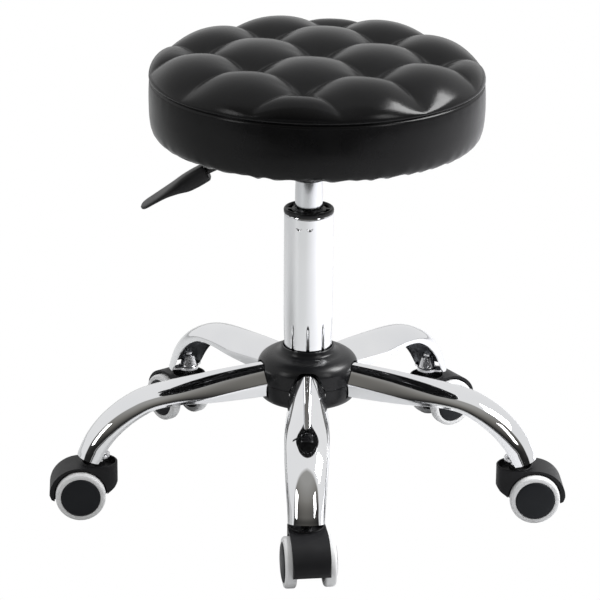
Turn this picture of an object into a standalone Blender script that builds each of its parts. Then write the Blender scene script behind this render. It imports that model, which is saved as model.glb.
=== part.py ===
"""Rolling stylist stool: tufted round seat, gas lift and a five-legged base on twin-wheel casters.

Sizes are in millimetres and turned into metres as each mesh is made. The column's axis is vertical,
one leg points towards -Y, and the floor is z = 0.
"""

import math

import bmesh
import bpy
from mathutils import Matrix, Vector

MM = 0.001

# The column's axis stands behind the origin, which is the middle of the stool's footprint.
AXIS_Y = 21.9

# Base
LEG_COUNT = 5
FIRST_LEG_AZIMUTH = -90.0
STEM_CIRCLE_R = 219.0
LEG_WALL = 1.8
HUB_R = 51.0
HUB_SEAM_Z = 122.6
HUB_TOP_Z = 156.0
HUB_FLOOR_Z = 101.0
HUB_SHELL = 2.4
HUB_STEPS = 30

# Each section of a leg: its crown's reach and height, its open edge's reach and height, its half
# width, how far down the widest line lies, the half width at the open edge, and how round the
# crown is (0 is a narrow ridge, 1 a full arch).
LEG_SECTIONS = (
    (30.0, 142.8, 30.0, 110.8, 16.6, 0.56, 14.4, 0.0),
    (52.0, 141.0, 52.0, 110.4, 17.4, 0.56, 15.0, 0.0),
    (85.0, 138.3, 85.0, 110.9, 19.6, 0.66, 18.0, 0.25),
    (117.0, 134.7, 114.0, 112.4, 21.4, 0.80, 20.9, 0.65),
    (150.0, 130.2, 143.0, 114.2, 22.0, 0.88, 22.0, 1.0),
    (173.0, 125.5, 165.2, 112.0, 22.0, 0.88, 22.0, 1.0),
    (190.0, 118.6, 181.2, 105.0, 21.6, 0.88, 21.5, 1.0),
    (205.5, 109.3, 194.3, 96.0, 20.8, 0.88, 20.6, 1.0),
    (219.6, 97.2, 204.8, 86.4, 19.9, 0.88, 19.7, 1.0),
    (230.6, 83.6, 212.3, 77.3, 19.0, 0.88, 18.8, 1.0),
    (237.6, 70.5, 217.8, 68.7, 18.3, 0.88, 18.2, 1.0),
    (240.6, 62.9, 224.3, 58.5, 17.9, 0.88, 17.8, 1.0),
)
# The narrow ridge of a leg near the hub: shares of the half width and of the depth to the crease.
RIDGE = ((0.0, 0.0), (0.34, 0.07), (0.68, 0.50), (1.0, 1.0))
SOCKET_Z = 59.8
SOCKET_TOP_Z = 75.0
SOCKET_BORE_R = 5.78
SOCKET_MOUTH_R = 3.9

# Casters
STEM_R = 5.5
STEM_STEPS = 12
STEM_TOP_Z = 80.2
TRAIL = 19.0
TYRE_R = 25.0
TYRE_STEPS = 20
CORE_R = 19.7
CORE_STEPS = 16
AXLE_R = 3.0
AXLE_BORE_R = 3.12
AXLE_REACH = 22.4
WHEEL_INNER = 13.6
WHEEL_OUTER = 24.7
HUBCAP_REACH = 27.2
WHEEL_Z = TYRE_R * math.cos(math.pi / TYRE_STEPS)
BOSS_R = 18.3
BOSS_TOP_Z = 55.0
WEB_HALF = 12.9
WHEEL_ROOM_R = 26.5
FENDER_A = 31.2
FENDER_B = 29.0
# The way each caster trails at rest, one for each leg.
CASTER_HEADINGS = (-82.5, 3.0, 33.0, 128.5, 184.0)

# Gas lift
TUBE_R = 24.8
TUBE_FOOT_R = 23.6
TUBE_BORE_R = 22.9
TUBE_TOP_Z = 296.4
TUBE_FOOT_Z = 106.0
RING_R = 25.2
RING_TOP_Z = 300.9
CYLINDER_R = 14.0
CYLINDER_FOOT_Z = 148.0
CYLINDER_TOP_Z = 350.7
ROD_R = 5.0
ROD_HEAD_Z = (254.0, 264.0)
COLUMN_STEPS = 24

# Seat
# The padded seat stands a little to the right of the column.
SEAT_SHIFT_X = 7.1
SEAT_R = 165.3
SEAT_LOW_Z = 379.0
SEAM_Z = 437.0
TUFT_PITCH = 82.0
TUFT_TURN = -6.8
DIMPLE_RISE = 11.0
PUFF_RISE = 23.0
BOARD_R = 151.0
BOARD_Z = (380.7, 392.7)
FOAM_R = 158.2
FOAM_TOP_Z = 440.0
PLATE_Z = (377.5, 380.4)
BOLT_X = 62.0
BOLT_Y = 42.0
WALL_LOW_Z = 341.0
SOCKET_TUBE_R = 16.3
SOCKET_TUBE_Z = (332.0, 349.7)
SEAT_STEPS = 48

# Lever
LEVER_PIVOT = (-32.0, 0.0, 361.7)
LEVER_BEND = Vector((-94.0, 0.0, 343.8))
LEVER_SLOPE = math.radians(30.7)
LEVER_OUT = Vector((-math.cos(LEVER_SLOPE), 0.0, -math.sin(LEVER_SLOPE)))
LEVER_R = 4.0


def clear_scene():
    for obj in list(bpy.data.objects):
        bpy.data.objects.remove(obj, do_unlink=True)


def material(name, colour, roughness, metallic=0.0):
    mat = bpy.data.materials.new(name)
    mat.use_nodes = True
    shader = mat.node_tree.nodes["Principled BSDF"]
    shader.inputs["Base Color"].default_value = (*colour, 1.0)
    shader.inputs["Roughness"].default_value = roughness
    shader.inputs["Metallic"].default_value = metallic
    mat.diffuse_color = (*colour, 1.0)
    return mat


def empty(name, location, parent=None, heading=0.0):
    obj = bpy.data.objects.new(name, None)
    bpy.context.collection.objects.link(obj)
    obj.location = Vector(location) * MM
    obj.rotation_euler = (0.0, 0.0, math.radians(heading))
    obj.parent = parent
    return obj


def add_object(name, mesh, mat, parent=None, location=(0.0, 0.0, 0.0)):
    obj = bpy.data.objects.new(name, mesh)
    bpy.context.collection.objects.link(obj)
    obj.location = Vector(location) * MM
    obj.parent = parent
    if mat is not None and not mesh.materials:
        mesh.materials.append(mat)
    return obj


def to_mesh(name, bm):
    """A mesh in metres, with outward faces and smooth shading up to a sharp angle."""
    bmesh.ops.remove_doubles(bm, verts=bm.verts, dist=1e-4)
    bmesh.ops.recalc_face_normals(bm, faces=bm.faces)
    bm.transform(Matrix.Scale(MM, 4))
    mesh = bpy.data.meshes.new(name)
    bm.to_mesh(mesh)
    bm.free()
    mesh.shade_smooth()
    mesh.set_sharp_from_angle(angle=math.radians(35.0))
    return mesh


def turned(profile, steps, closed=True, axis="Z", half_step=False):
    """Spin a profile of (radius, height) points about an axis through the origin."""
    bm = bmesh.new()
    verts = [bm.verts.new((r, 0.0, z)) for r, z in profile]
    pairs = list(zip(verts, verts[1:]))
    if closed:
        pairs.append((verts[-1], verts[0]))
    edges = [bm.edges.new(pair) for pair in pairs]
    if half_step:
        turn = Matrix.Rotation(math.pi / steps, 3, "Z")
        bmesh.ops.rotate(bm, verts=verts, cent=(0, 0, 0), matrix=turn)
    bmesh.ops.spin(
        bm,
        geom=verts + edges,
        cent=(0, 0, 0),
        axis=(0, 0, 1),
        angle=2 * math.pi,
        steps=steps,
        use_merge=True,
    )
    if axis == "Y":
        bm.transform(Matrix.Rotation(-math.pi / 2, 4, "X"))
    return bm


def cylinder(radius, low, high, steps, axis="Z", half_step=False):
    profile = [(0.0, low), (radius, low), (radius, high), (0.0, high)]
    return turned(profile, steps, closed=False, axis=axis, half_step=half_step)


def extruded(outline, low, high, axis="Z"):
    """A prism: the outline lies in XY for axis Z, and in XZ for axis Y."""
    bm = bmesh.new()
    if axis == "Z":
        verts = [bm.verts.new((x, y, low)) for x, y in outline]
        step = Vector((0.0, 0.0, high - low))
    else:
        verts = [bm.verts.new((x, low, z)) for x, z in outline]
        step = Vector((0.0, high - low, 0.0))
    face = bm.faces.new(verts)
    grown = bmesh.ops.extrude_face_region(bm, geom=[face])["geom"]
    bmesh.ops.translate(bm, vec=step, verts=[v for v in grown if isinstance(v, bmesh.types.BMVert)])
    return bm


def box(low, high):
    bm = bmesh.new()
    bmesh.ops.create_cube(bm, size=1.0)
    centre = (Vector(low) + Vector(high)) / 2
    span = Vector(high) - Vector(low)
    bm.transform(Matrix.Translation(centre) @ Matrix.Diagonal((*span, 1.0)))
    return bm


def combine(obj, bm, operation):
    """Apply one Boolean step to an object that still stands at the world's origin."""
    tool = add_object("tool", to_mesh("tool", bm), None)
    tool.hide_render = True
    tool.display_type = "WIRE"
    step = obj.modifiers.new("step", "BOOLEAN")
    step.operation = operation
    step.solver = "EXACT"
    step.object = tool
    graph = bpy.context.evaluated_depsgraph_get()
    result = bpy.data.meshes.new_from_object(obj.evaluated_get(graph))
    obj.modifiers.clear()
    old = obj.data
    obj.data = result
    bpy.data.objects.remove(tool, do_unlink=True)
    bpy.data.meshes.remove(old)


def shaped(name, bm, steps):
    """A mesh from a first shape and a list of (operation, shape) steps."""
    obj = add_object(name, to_mesh(name, bm), None)
    for operation, tool in steps:
        combine(obj, tool, operation)
    mesh = obj.data
    bpy.data.objects.remove(obj, do_unlink=True)
    mesh.name = name
    tidy = bmesh.new()
    tidy.from_mesh(mesh)
    bmesh.ops.dissolve_degenerate(tidy, edges=tidy.edges, dist=1e-6)
    tidy.to_mesh(mesh)
    tidy.free()
    mesh.shade_smooth()
    mesh.set_sharp_from_angle(angle=math.radians(35.0))
    return mesh


# Base ---------------------------------------------------------------------------------------------

def crown_point(index, roundness):
    """One point of the half crown, between a narrow ridge and a quarter ellipse."""
    turn = math.radians(30.0 * index)
    arch = (math.sin(turn), 1.0 - math.cos(turn))
    ridge = RIDGE[index]
    return tuple(a * roundness + r * (1.0 - roundness) for a, r in zip(arch, ridge))


def half_section(section):
    """Half of a leg's outer section as (half width, depth below the crown)."""
    reach, top_z, edge_reach, edge_z, width, crease, lip, roundness = section
    depth = math.hypot(edge_reach - reach, edge_z - top_z)
    half = []
    for index in range(len(RIDGE)):
        across, down = crown_point(index, roundness)
        half.append((across * width, down * crease * depth))
    half.append((lip, depth))
    return half


def inset(points, wall):
    """Move an open outline inwards by the wall, at each point across its mean direction."""
    moved = []
    for index, point in enumerate(points):
        before = Vector(points[max(index - 1, 0)])
        after = Vector(points[min(index + 1, len(points) - 1)])
        along = (after - before).normalized()
        moved.append((point[0] + along.y * -wall, point[1] + along.x * wall))
    return moved


def leg_ring(section):
    """A leg's closed section: over the outside and back along the inside."""
    half = half_section(section)
    outer = [(-w, d) for w, d in reversed(half[1:])] + half
    inner = inset([(w, d) for w, d in outer], LEG_WALL)
    inner[0] = (inner[0][0], outer[0][1])
    inner[-1] = (inner[-1][0], outer[-1][1])
    top = Vector((section[0], 0.0, section[1]))
    down = (Vector((section[2], 0.0, section[3])) - top).normalized()
    ring = outer + inner[::-1]
    return [top + down * d + Vector((0.0, w, 0.0)) for w, d in ring]


def leg_channel():
    bm = bmesh.new()
    rings = [[bm.verts.new(p) for p in leg_ring(section)] for section in LEG_SECTIONS]
    count = len(rings[0])
    for near, far in zip(rings, rings[1:]):
        for i in range(count):
            j = (i + 1) % count
            bm.faces.new((near[i], near[j], far[j], far[i]))
    for ring in (rings[0], rings[-1]):
        for i in range(count // 2 - 1):
            bm.faces.new((ring[i], ring[i + 1], ring[-2 - i], ring[-1 - i]))
    return bm


def at_stem(bm):
    bm.transform(Matrix.Translation((STEM_CIRCLE_R, 0.0, 0.0)))
    return bm


def leg_mesh():
    """A pressed channel, open below, with the caster socket welded into its tip."""
    socket = [
        (0.0, SOCKET_Z),
        (10.8, SOCKET_Z),
        (10.8, SOCKET_Z + 3.4),
        (8.6, SOCKET_Z + 4.0),
        (6.5, SOCKET_TOP_Z),
        (0.0, SOCKET_TOP_Z),
    ]
    bore = [
        (0.0, SOCKET_Z - 1.0),
        (SOCKET_BORE_R, SOCKET_Z - 1.0),
        (SOCKET_BORE_R, SOCKET_TOP_Z - 4.2),
        (SOCKET_MOUTH_R, SOCKET_TOP_Z - 3.4),
        (SOCKET_MOUTH_R, SOCKET_TOP_Z + 1.0),
        (0.0, SOCKET_TOP_Z + 1.0),
    ]
    bracket = box((219.6, -17.1, SOCKET_Z + 0.8), (227.2, 17.1, SOCKET_Z + 2.9))
    return shaped(
        "leg",
        leg_channel(),
        [
            ("UNION", bracket),
            ("UNION", at_stem(turned(socket, STEM_STEPS, closed=False))),
            ("DIFFERENCE", at_stem(turned(bore, STEM_STEPS, closed=False))),
        ],
    )


def leg_arch(clearance_top, floor_z):
    """The opening that one leg needs in a hub shell, along +X."""
    outline = [
        (-17.9, floor_z),
        (17.9, floor_z),
        (17.9, 124.6),
        (14.4, 131.6),
        (10.6, 139.0),
        (7.0, clearance_top),
        (-7.0, clearance_top),
        (-10.6, 139.0),
        (-14.4, 131.6),
        (-17.9, 124.6),
    ]
    bm = bmesh.new()
    verts = [bm.verts.new((36.0, y, z)) for y, z in outline]
    face = bm.faces.new(verts)
    grown = bmesh.ops.extrude_face_region(bm, geom=[face])["geom"]
    moved = [v for v in grown if isinstance(v, bmesh.types.BMVert)]
    bmesh.ops.translate(bm, vec=(24.0, 0.0, 0.0), verts=moved)
    return bm


def leg_azimuth(index):
    return FIRST_LEG_AZIMUTH + index * 360.0 / LEG_COUNT


def with_leg_openings(name, profile, floor_z):
    steps = []
    for index in range(LEG_COUNT):
        arch = leg_arch(142.1, floor_z)
        arch.transform(Matrix.Rotation(math.radians(leg_azimuth(index)), 4, "Z"))
        steps.append(("DIFFERENCE", arch))
    return shaped(name, turned(profile, HUB_STEPS), steps)


def hub_top_mesh():
    wall = HUB_SHELL
    profile = [
        (HUB_R, HUB_SEAM_Z + 0.2),
        (50.6, 136.6),
        (47.8, 143.0),
        (41.5, 147.2),
        (31.0, 150.0),
        (27.8, 152.4),
        (27.4, HUB_TOP_Z),
        (24.9, HUB_TOP_Z),
        (24.9, 150.2),
        (30.0, 147.6),
        (40.6, 144.8),
        (45.8, 141.2),
        (50.6 - wall, 136.0),
        (HUB_R - wall, HUB_SEAM_Z + 0.2),
    ]
    return with_leg_openings("hub_cover_top", profile, HUB_SEAM_Z - 4.0)


def hub_bottom_mesh():
    wall = HUB_SHELL
    profile = [
        (HUB_R, HUB_SEAM_Z - 0.2),
        (50.8, 114.0),
        (49.8, 107.4),
        (46.8, 102.8),
        (41.0, HUB_FLOOR_Z),
        (24.6, HUB_FLOOR_Z),
        (24.6, HUB_FLOOR_Z + wall),
        (40.2, HUB_FLOOR_Z + wall),
        (45.0, 104.8),
        (47.5, 108.4),
        (50.8 - wall, 114.4),
        (HUB_R - wall, HUB_SEAM_Z - 0.2),
    ]
    return with_leg_openings("hub_cover_bottom", profile, 109.6)


def hub_core_mesh():
    """The steel sleeve that the legs are welded to and the gas lift's foot wedges into."""
    profile = [(29.6, 110.6), (29.6, 146.8), (24.4, 146.8), (24.0, 110.6)]
    return to_mesh("hub_core", turned(profile, HUB_STEPS))


# Casters ------------------------------------------------------------------------------------------


def hood_outline():
    """The hood seen from its side: boss, fender and the web down to the axle, in X and Z."""
    outline = [(-19.0, BOSS_TOP_Z), (-19.0, 37.0), (-16.6, 31.6), (-13.0, 28.2), (-8.0, 25.4)]
    outline += [(0.0, 18.6), (8.0, 15.0), (TRAIL, 14.2), (32.0, 15.6)]
    outline += [(TRAIL + 27.0, 19.4), (TRAIL + 29.2, 20.4)]
    for step in range(0, 7):
        turn = math.radians(step * 15.0)
        outline.append((TRAIL + FENDER_A * math.cos(turn), WHEEL_Z + FENDER_B * math.sin(turn)))
    return outline


def hood_plan():
    """The hood seen from above: round about the stem, straight sides, rounded far corners."""
    outline = []
    for step in range(10):
        turn = math.radians(90.0 + step * 20.0)
        outline.append((BOSS_R * math.cos(turn), BOSS_R * math.sin(turn)))
    for corner, start in ((-BOSS_R + 3.0, -90.0), (BOSS_R - 3.0, 0.0)):
        for step in range(3):
            turn = math.radians(start + step * 45.0)
            outline.append((TRAIL + 29.0 + 3.0 * math.cos(turn), corner + 3.0 * math.sin(turn)))
    return outline


def hood_mesh():
    """One moulding: stem boss with a sunk top, fender over both wheels and the web between them."""
    at_axle = Matrix.Translation((TRAIL, 0.0, WHEEL_Z))
    steps = [("INTERSECT", extruded(hood_plan(), 5.0, 70.0))]
    for side in (-1.0, 1.0):
        room = cylinder(WHEEL_ROOM_R, WEB_HALF, 30.0, TYRE_STEPS, axis="Y", half_step=True)
        if side < 0:
            room.transform(Matrix.Diagonal((1.0, -1.0, 1.0, 1.0)))
        room.transform(at_axle)
        steps.append(("DIFFERENCE", room))
    axle_bore = cylinder(AXLE_R + 0.05, -40.0, 40.0, CORE_STEPS, axis="Y")
    axle_bore.transform(at_axle)
    steps.append(("DIFFERENCE", axle_bore))
    cup = [(0.0, 38.0), (STEM_R + 0.04, 38.0), (STEM_R + 0.04, 50.8), (15.6, 50.8), (16.2, 60.0), (0.0, 60.0)]
    steps.append(("DIFFERENCE", turned(cup, STEM_STEPS, closed=False)))
    return shaped("hood", extruded(hood_outline(), -25.0, 25.0, axis="Y"), steps)


def stem_mesh():
    profile = [
        (0.0, 38.3),
        (STEM_R, 38.3),
        (STEM_R, SOCKET_TOP_Z - 4.8),
        (3.5, SOCKET_TOP_Z - 3.8),
        (3.5, SOCKET_TOP_Z + 0.4),
        (4.2, SOCKET_TOP_Z + 0.8),
        (4.2, STEM_TOP_Z - 1.4),
        (3.0, STEM_TOP_Z),
        (0.0, STEM_TOP_Z),
    ]
    return to_mesh("stem", turned(profile, STEM_STEPS, closed=False))


def axle_mesh():
    return to_mesh("axle", cylinder(AXLE_R, -AXLE_REACH, AXLE_REACH, CORE_STEPS, axis="Y"))


def core_mesh():
    """A wheel's disc: blind axle bore, thinned back, domed face."""
    profile = [
        (0.0, AXLE_REACH + 0.4),
        (AXLE_BORE_R, AXLE_REACH + 0.4),
        (AXLE_BORE_R, WEB_HALF + 0.4),
        (8.0, WEB_HALF + 0.4),
        (16.6, 18.0),
        (CORE_R, WHEEL_INNER + 0.3),
        (CORE_R, WHEEL_OUTER - 0.2),
        (18.4, WHEEL_OUTER + 0.8),
        (0.0, HUBCAP_REACH),
    ]
    return to_mesh("wheel_core", turned(profile, CORE_STEPS, closed=False, axis="Y"))


def tyre_mesh():
    profile = [
        (20.1, WHEEL_INNER),
        (23.8, WHEEL_INNER),
        (TYRE_R, WHEEL_INNER + 1.3),
        (TYRE_R, WHEEL_OUTER - 1.6),
        (23.4, WHEEL_OUTER),
        (20.1, WHEEL_OUTER),
    ]
    return to_mesh("tyre", turned(profile, TYRE_STEPS, axis="Y", half_step=True))


# Gas lift -----------------------------------------------------------------------------------------


def outer_tube_mesh():
    """The lower tube: its foot narrows into the hub, and its floor holds the rod."""
    profile = [
        (ROD_R + 0.6, TUBE_FOOT_Z),
        (TUBE_FOOT_R - 1.0, TUBE_FOOT_Z),
        (TUBE_FOOT_R, 113.0),
        (24.0, HUB_TOP_Z),
        (TUBE_R, 182.0),
        (TUBE_R, TUBE_TOP_Z),
        (TUBE_BORE_R, TUBE_TOP_Z),
        (TUBE_BORE_R, 182.0),
        (21.6, 112.0),
        (20.6, TUBE_FOOT_Z + 2.5),
        (ROD_R + 0.6, TUBE_FOOT_Z + 2.5),
    ]
    return to_mesh("outer_tube", turned(profile, COLUMN_STEPS))


def guide_bush_mesh():
    """The long plastic guide inside the tube, with the ring that shows on top."""
    bore = CYLINDER_R + 0.16
    profile = [
        (bore, 236.0),
        (TUBE_BORE_R - 0.2, 236.0),
        (TUBE_BORE_R - 0.2, TUBE_TOP_Z + 0.3),
        (RING_R, TUBE_TOP_Z + 0.3),
        (RING_R, RING_TOP_Z - 0.8),
        (RING_R - 1.4, RING_TOP_Z),
        (bore, RING_TOP_Z - 1.2),
    ]
    return to_mesh("guide_bush", turned(profile, COLUMN_STEPS))


def gas_cylinder_mesh():
    """The inner cylinder: the rod enters its foot, the release pin leaves its top."""
    profile = [
        (ROD_R + 0.15, CYLINDER_FOOT_Z),
        (CYLINDER_R, CYLINDER_FOOT_Z),
        (CYLINDER_R, 318.0),
        (CYLINDER_R - 1.0, CYLINDER_TOP_Z),
        (3.2, CYLINDER_TOP_Z),
        (3.2, 338.0),
        (10.6, 338.0),
        (10.6, CYLINDER_FOOT_Z + 15.0),
        (ROD_R + 0.15, CYLINDER_FOOT_Z + 15.0),
    ]
    return to_mesh("gas_cylinder", turned(profile, COLUMN_STEPS))


def piston_rod_mesh():
    low, high = ROD_HEAD_Z
    profile = [
        (0.0, 102.6),
        (4.0, 102.6),
        (4.0, 105.5),
        (ROD_R, 105.6),
        (ROD_R, low),
        (10.3, low),
        (10.3, high),
        (0.0, high),
    ]
    return to_mesh("piston_rod", turned(profile, COLUMN_STEPS, closed=False))


def thrust_bearing_mesh():
    low = TUBE_FOOT_Z + 2.8
    profile = [(ROD_R + 0.2, low), (10.5, low), (10.5, low + 4.5), (ROD_R + 0.2, low + 4.5)]
    return to_mesh("thrust_bearing", turned(profile, 20))


def retaining_clip_mesh():
    """The spring clip under the foot, in the rod's groove, with its one gap."""
    ring = turned([(4.2, 103.6), (8.6, 103.6), (8.6, 104.8), (4.2, 104.8)], 20)
    gap = box((3.0, -1.6, 100.0), (12.0, 1.6, 108.0))
    return shaped("retaining_clip", ring, [("DIFFERENCE", gap)])


def release_pin_mesh():
    profile = [(0.0, 332.0), (3.0, 332.0), (3.0, 354.9), (4.5, 355.3), (4.5, 357.3), (0.0, 357.3)]
    return to_mesh("release_pin", turned(profile, 16, closed=False))


# Seat ---------------------------------------------------------------------------------------------


def seat_plate_mesh():
    """A pressed plate with two side walls, the lever's cross pin and the cylinder's socket tube."""
    low, high = PLATE_Z
    outline = []
    for x, y, start in ((66.0, 46.0, 0.0), (-66.0, 46.0, 90.0), (-66.0, -46.0, 180.0), (66.0, -46.0, 270.0)):
        for step in range(4):
            turn = math.radians(start + step * 30.0)
            outline.append((x + 9.0 * math.cos(turn), y + 9.0 * math.sin(turn)))
    pivot_x, _, pivot_z = LEVER_PIVOT
    pin = cylinder(1.9, -24.0, 24.0, 16, axis="Y")
    pin.transform(Matrix.Translation((pivot_x, 0.0, pivot_z)))
    bore = CYLINDER_R + 0.3
    tube_low, tube_high = SOCKET_TUBE_Z
    tube = [(SOCKET_TUBE_R, tube_low), (SOCKET_TUBE_R, tube_high), (bore, tube_high), (bore, tube_low)]
    steps = [
        ("UNION", box((-54.0, 22.5, WALL_LOW_Z), (34.0, 25.0, low + 0.5))),
        ("UNION", box((-54.0, -25.0, WALL_LOW_Z), (34.0, -22.5, low + 0.5))),
        ("UNION", box((31.5, -24.0, WALL_LOW_Z), (34.0, 24.0, low + 0.5))),
        ("UNION", box((-24.0, -24.0, WALL_LOW_Z), (33.0, 24.0, WALL_LOW_Z + 3.0))),
        ("DIFFERENCE", cylinder(CYLINDER_R + 1.2, tube_low, tube_high, COLUMN_STEPS)),
        ("UNION", turned(tube, COLUMN_STEPS)),
        ("UNION", pin),
    ]
    for x in (-BOLT_X, BOLT_X):
        for y in (-BOLT_Y, BOLT_Y):
            hole = cylinder(3.4, low - 2.0, high + 2.0, 12)
            hole.transform(Matrix.Translation((x, y, 0.0)))
            steps.append(("DIFFERENCE", hole))
    return shaped("seat_plate", extruded(outline, low, high), steps)


def seat_bolt_mesh():
    """A hexagon-headed bolt, head down, about its own axis."""
    low = PLATE_Z[0]
    head = cylinder(5.8, low - 4.6, low - 0.3, 6)
    shank = cylinder(2.9, low - 1.0, BOARD_Z[1] - 0.6, 12)
    return shaped("seat_bolt", head, [("UNION", shank)])


def seat_board_mesh():
    steps = []
    for x in (-BOLT_X, BOLT_X):
        for y in (-BOLT_Y, BOLT_Y):
            hole = cylinder(3.1, BOARD_Z[0] - 2.0, BOARD_Z[1] + 2.0, 12)
            hole.transform(Matrix.Translation((x - SEAT_SHIFT_X, y, 0.0)))
            steps.append(("DIFFERENCE", hole))
    return shaped("seat_board", cylinder(BOARD_R, *BOARD_Z, SEAT_STEPS), steps)


def seat_foam_mesh():
    low = BOARD_Z[1] + 0.3
    side = [(FOAM_R - 1.6, low), (FOAM_R, 404.0), (FOAM_R - 1.6, 428.0), (FOAM_R - 11.6, FOAM_TOP_Z)]
    profile = [(0.0, low)] + side + [(0.0, FOAM_TOP_Z)]
    return to_mesh("seat_foam", turned(profile, SEAT_STEPS, closed=False))


def tufted_height(x, y):
    """The top of the padded cover: puffs between dimples on a square lattice set cornerwise."""
    turn = math.radians(TUFT_TURN)
    along = x * math.cos(turn) + y * math.sin(turn)
    across = -x * math.sin(turn) + y * math.cos(turn)
    u = (along + across) / math.sqrt(2.0)
    v = (along - across) / math.sqrt(2.0)
    puff = abs(math.sin(math.pi * u / TUFT_PITCH) * math.sin(math.pi * v / TUFT_PITCH)) ** 0.6
    share = min(math.hypot(x, y) / SEAT_R, 1.0)
    edge = math.sqrt(1.0 - share**6)
    return SEAM_Z + edge * (DIMPLE_RISE + PUFF_RISE * puff)


def seat_cover_mesh():
    """The cover with its wadding: a tufted top, a side band, and the hem drawn under the board."""
    band = [(SEAT_R - 1.6, SEAM_Z), (SEAT_R, 416.0), (SEAT_R - 0.5, 396.0), (SEAT_R - 3.3, 383.0)]
    hem = [(SEAT_R - 8.0, SEAT_LOW_Z), (134.0, SEAT_LOW_Z), (134.0, BOARD_Z[0] - 0.3)]
    inside = [(BOARD_R + 1.2, BOARD_Z[0] - 0.3), (BOARD_R + 1.2, BOARD_Z[1]), (FOAM_R - 0.4, BOARD_Z[1])]
    inside += [(FOAM_R + 1.4, 404.0), (FOAM_R - 0.2, 429.0), (FOAM_R - 10.6, FOAM_TOP_Z + 0.5)]
    inside.append((0.0, FOAM_TOP_Z + 0.5))
    bm = turned(band + hem + inside, SEAT_STEPS, closed=False)
    rim = [v for v in bm.verts if abs(v.co.z - SEAM_Z) < 0.01 and v.co.xy.length > SEAT_R - 3.0]
    rim_edges = [e for e in bm.edges if e.verts[0] in rim and e.verts[1] in rim]
    grid = bmesh.ops.create_grid(bm, x_segments=16, y_segments=16, size=2.0 * TUFT_PITCH)["verts"]
    corner = Matrix.Rotation(math.radians(45.0 + TUFT_TURN), 3, "Z")
    bmesh.ops.rotate(bm, verts=grid, cent=(0, 0, 0), matrix=corner)
    beyond = [v for v in grid if v.co.length > SEAT_R - 8.0]
    kept = [v for v in grid if v.co.length <= SEAT_R - 8.0]
    bmesh.ops.delete(bm, geom=beyond, context="VERTS")
    loose = [v for v in kept if not v.link_faces]
    kept = [v for v in kept if v.link_faces]
    bmesh.ops.delete(bm, geom=loose, context="VERTS")
    for vert in kept:
        vert.co.z = SEAM_Z
    border = [e for e in bm.edges if e.is_boundary and e.verts[0] in kept]
    bmesh.ops.triangle_fill(bm, use_beauty=True, edges=rim_edges + border)
    for vert in kept:
        vert.co.z = tufted_height(vert.co.x, vert.co.y)
    return to_mesh("seat_cover", bm)


# Lever --------------------------------------------------------------------------------------------

def round_bar(points, radius, sides):
    """A round bar along points in the XZ plane, with flat ends."""
    bm = bmesh.new()
    rings = []
    for index, point in enumerate(points):
        before = points[max(index - 1, 0)]
        after = points[min(index + 1, len(points) - 1)]
        along = (after - before).normalized()
        normal = Vector((-along.z, 0.0, along.x))
        ring = []
        for side in range(sides):
            turn = 2 * math.pi * side / sides
            sideways = Vector((0.0, radius * math.sin(turn), 0.0))
            ring.append(bm.verts.new(point + normal * radius * math.cos(turn) + sideways))
        rings.append(ring)
    for near, far in zip(rings, rings[1:]):
        for i in range(sides):
            j = (i + 1) % sides
            bm.faces.new((near[i], near[j], far[j], far[i]))
    bm.faces.new(rings[0])
    bm.faces.new(rings[-1])
    return bm


def lever_rod_mesh():
    pivot = Vector(LEVER_PIVOT)
    points = [Vector((6.0, 0.0, 362.7)), pivot, Vector((-50.0, 0.0, 358.3)), LEVER_BEND]
    points.append(LEVER_BEND + LEVER_OUT * 34.0)
    hole = cylinder(2.05, -10.0, 10.0, 16, axis="Y")
    hole.transform(Matrix.Translation(pivot))
    return shaped("lever_rod", round_bar(points, LEVER_R, 12), [("DIFFERENCE", hole)])


def lever_handle_mesh():
    """The moulded paddle: a deep block round the rod that thins to a flat rounded tip."""
    side = (
        (4.0, 8.4, -7.0),
        (24.0, 8.8, -6.6),
        (34.0, 8.4, -5.4),
        (44.0, 6.6, -2.2),
        (56.0, 5.0, -0.6),
        (75.0, 3.4, 0.2),
        (84.6, 2.4, 0.6),
    )
    widths = (9.0, 9.6, 10.6, 12.4, 14.0, 13.4, 7.5)
    rings = []
    bm = bmesh.new()
    up = Vector((LEVER_OUT.z, 0.0, -LEVER_OUT.x))
    for (reach, high, low), width in zip(side, widths):
        centre = LEVER_BEND + LEVER_OUT * reach
        corner = min(2.0, (high - low) * 0.3)
        half = [(width - corner, high), (width, high - corner), (width, low + corner), (width - corner, low)]
        outline = half + [(-across, height) for across, height in reversed(half)]
        rings.append([bm.verts.new(centre + up * h + Vector((0.0, across, 0.0))) for across, h in outline])
    for near, far in zip(rings, rings[1:]):
        for i in range(8):
            j = (i + 1) % 8
            bm.faces.new((near[i], near[j], far[j], far[i]))
    bm.faces.new(rings[0])
    bm.faces.new(rings[-1])
    bore = round_bar([LEVER_BEND - LEVER_OUT * 2.0, LEVER_BEND + LEVER_OUT * 34.6], LEVER_R + 0.25, 12)
    return shaped("lever_handle", bm, [("DIFFERENCE", bore)])


# Assembly -----------------------------------------------------------------------------------------


def build_base(axis, looks):
    leg = leg_mesh()
    for index in range(LEG_COUNT):
        holder = empty(f"leg_{index + 1}_azimuth", (0, 0, 0), axis, leg_azimuth(index))
        add_object(f"leg_{index + 1}", leg, looks["chrome"], holder)
    add_object("hub_core", hub_core_mesh(), looks["steel"], axis)
    add_object("hub_cover_top", hub_top_mesh(), looks["hub_plastic"], axis)
    add_object("hub_cover_bottom", hub_bottom_mesh(), looks["hub_plastic"], axis)


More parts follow.
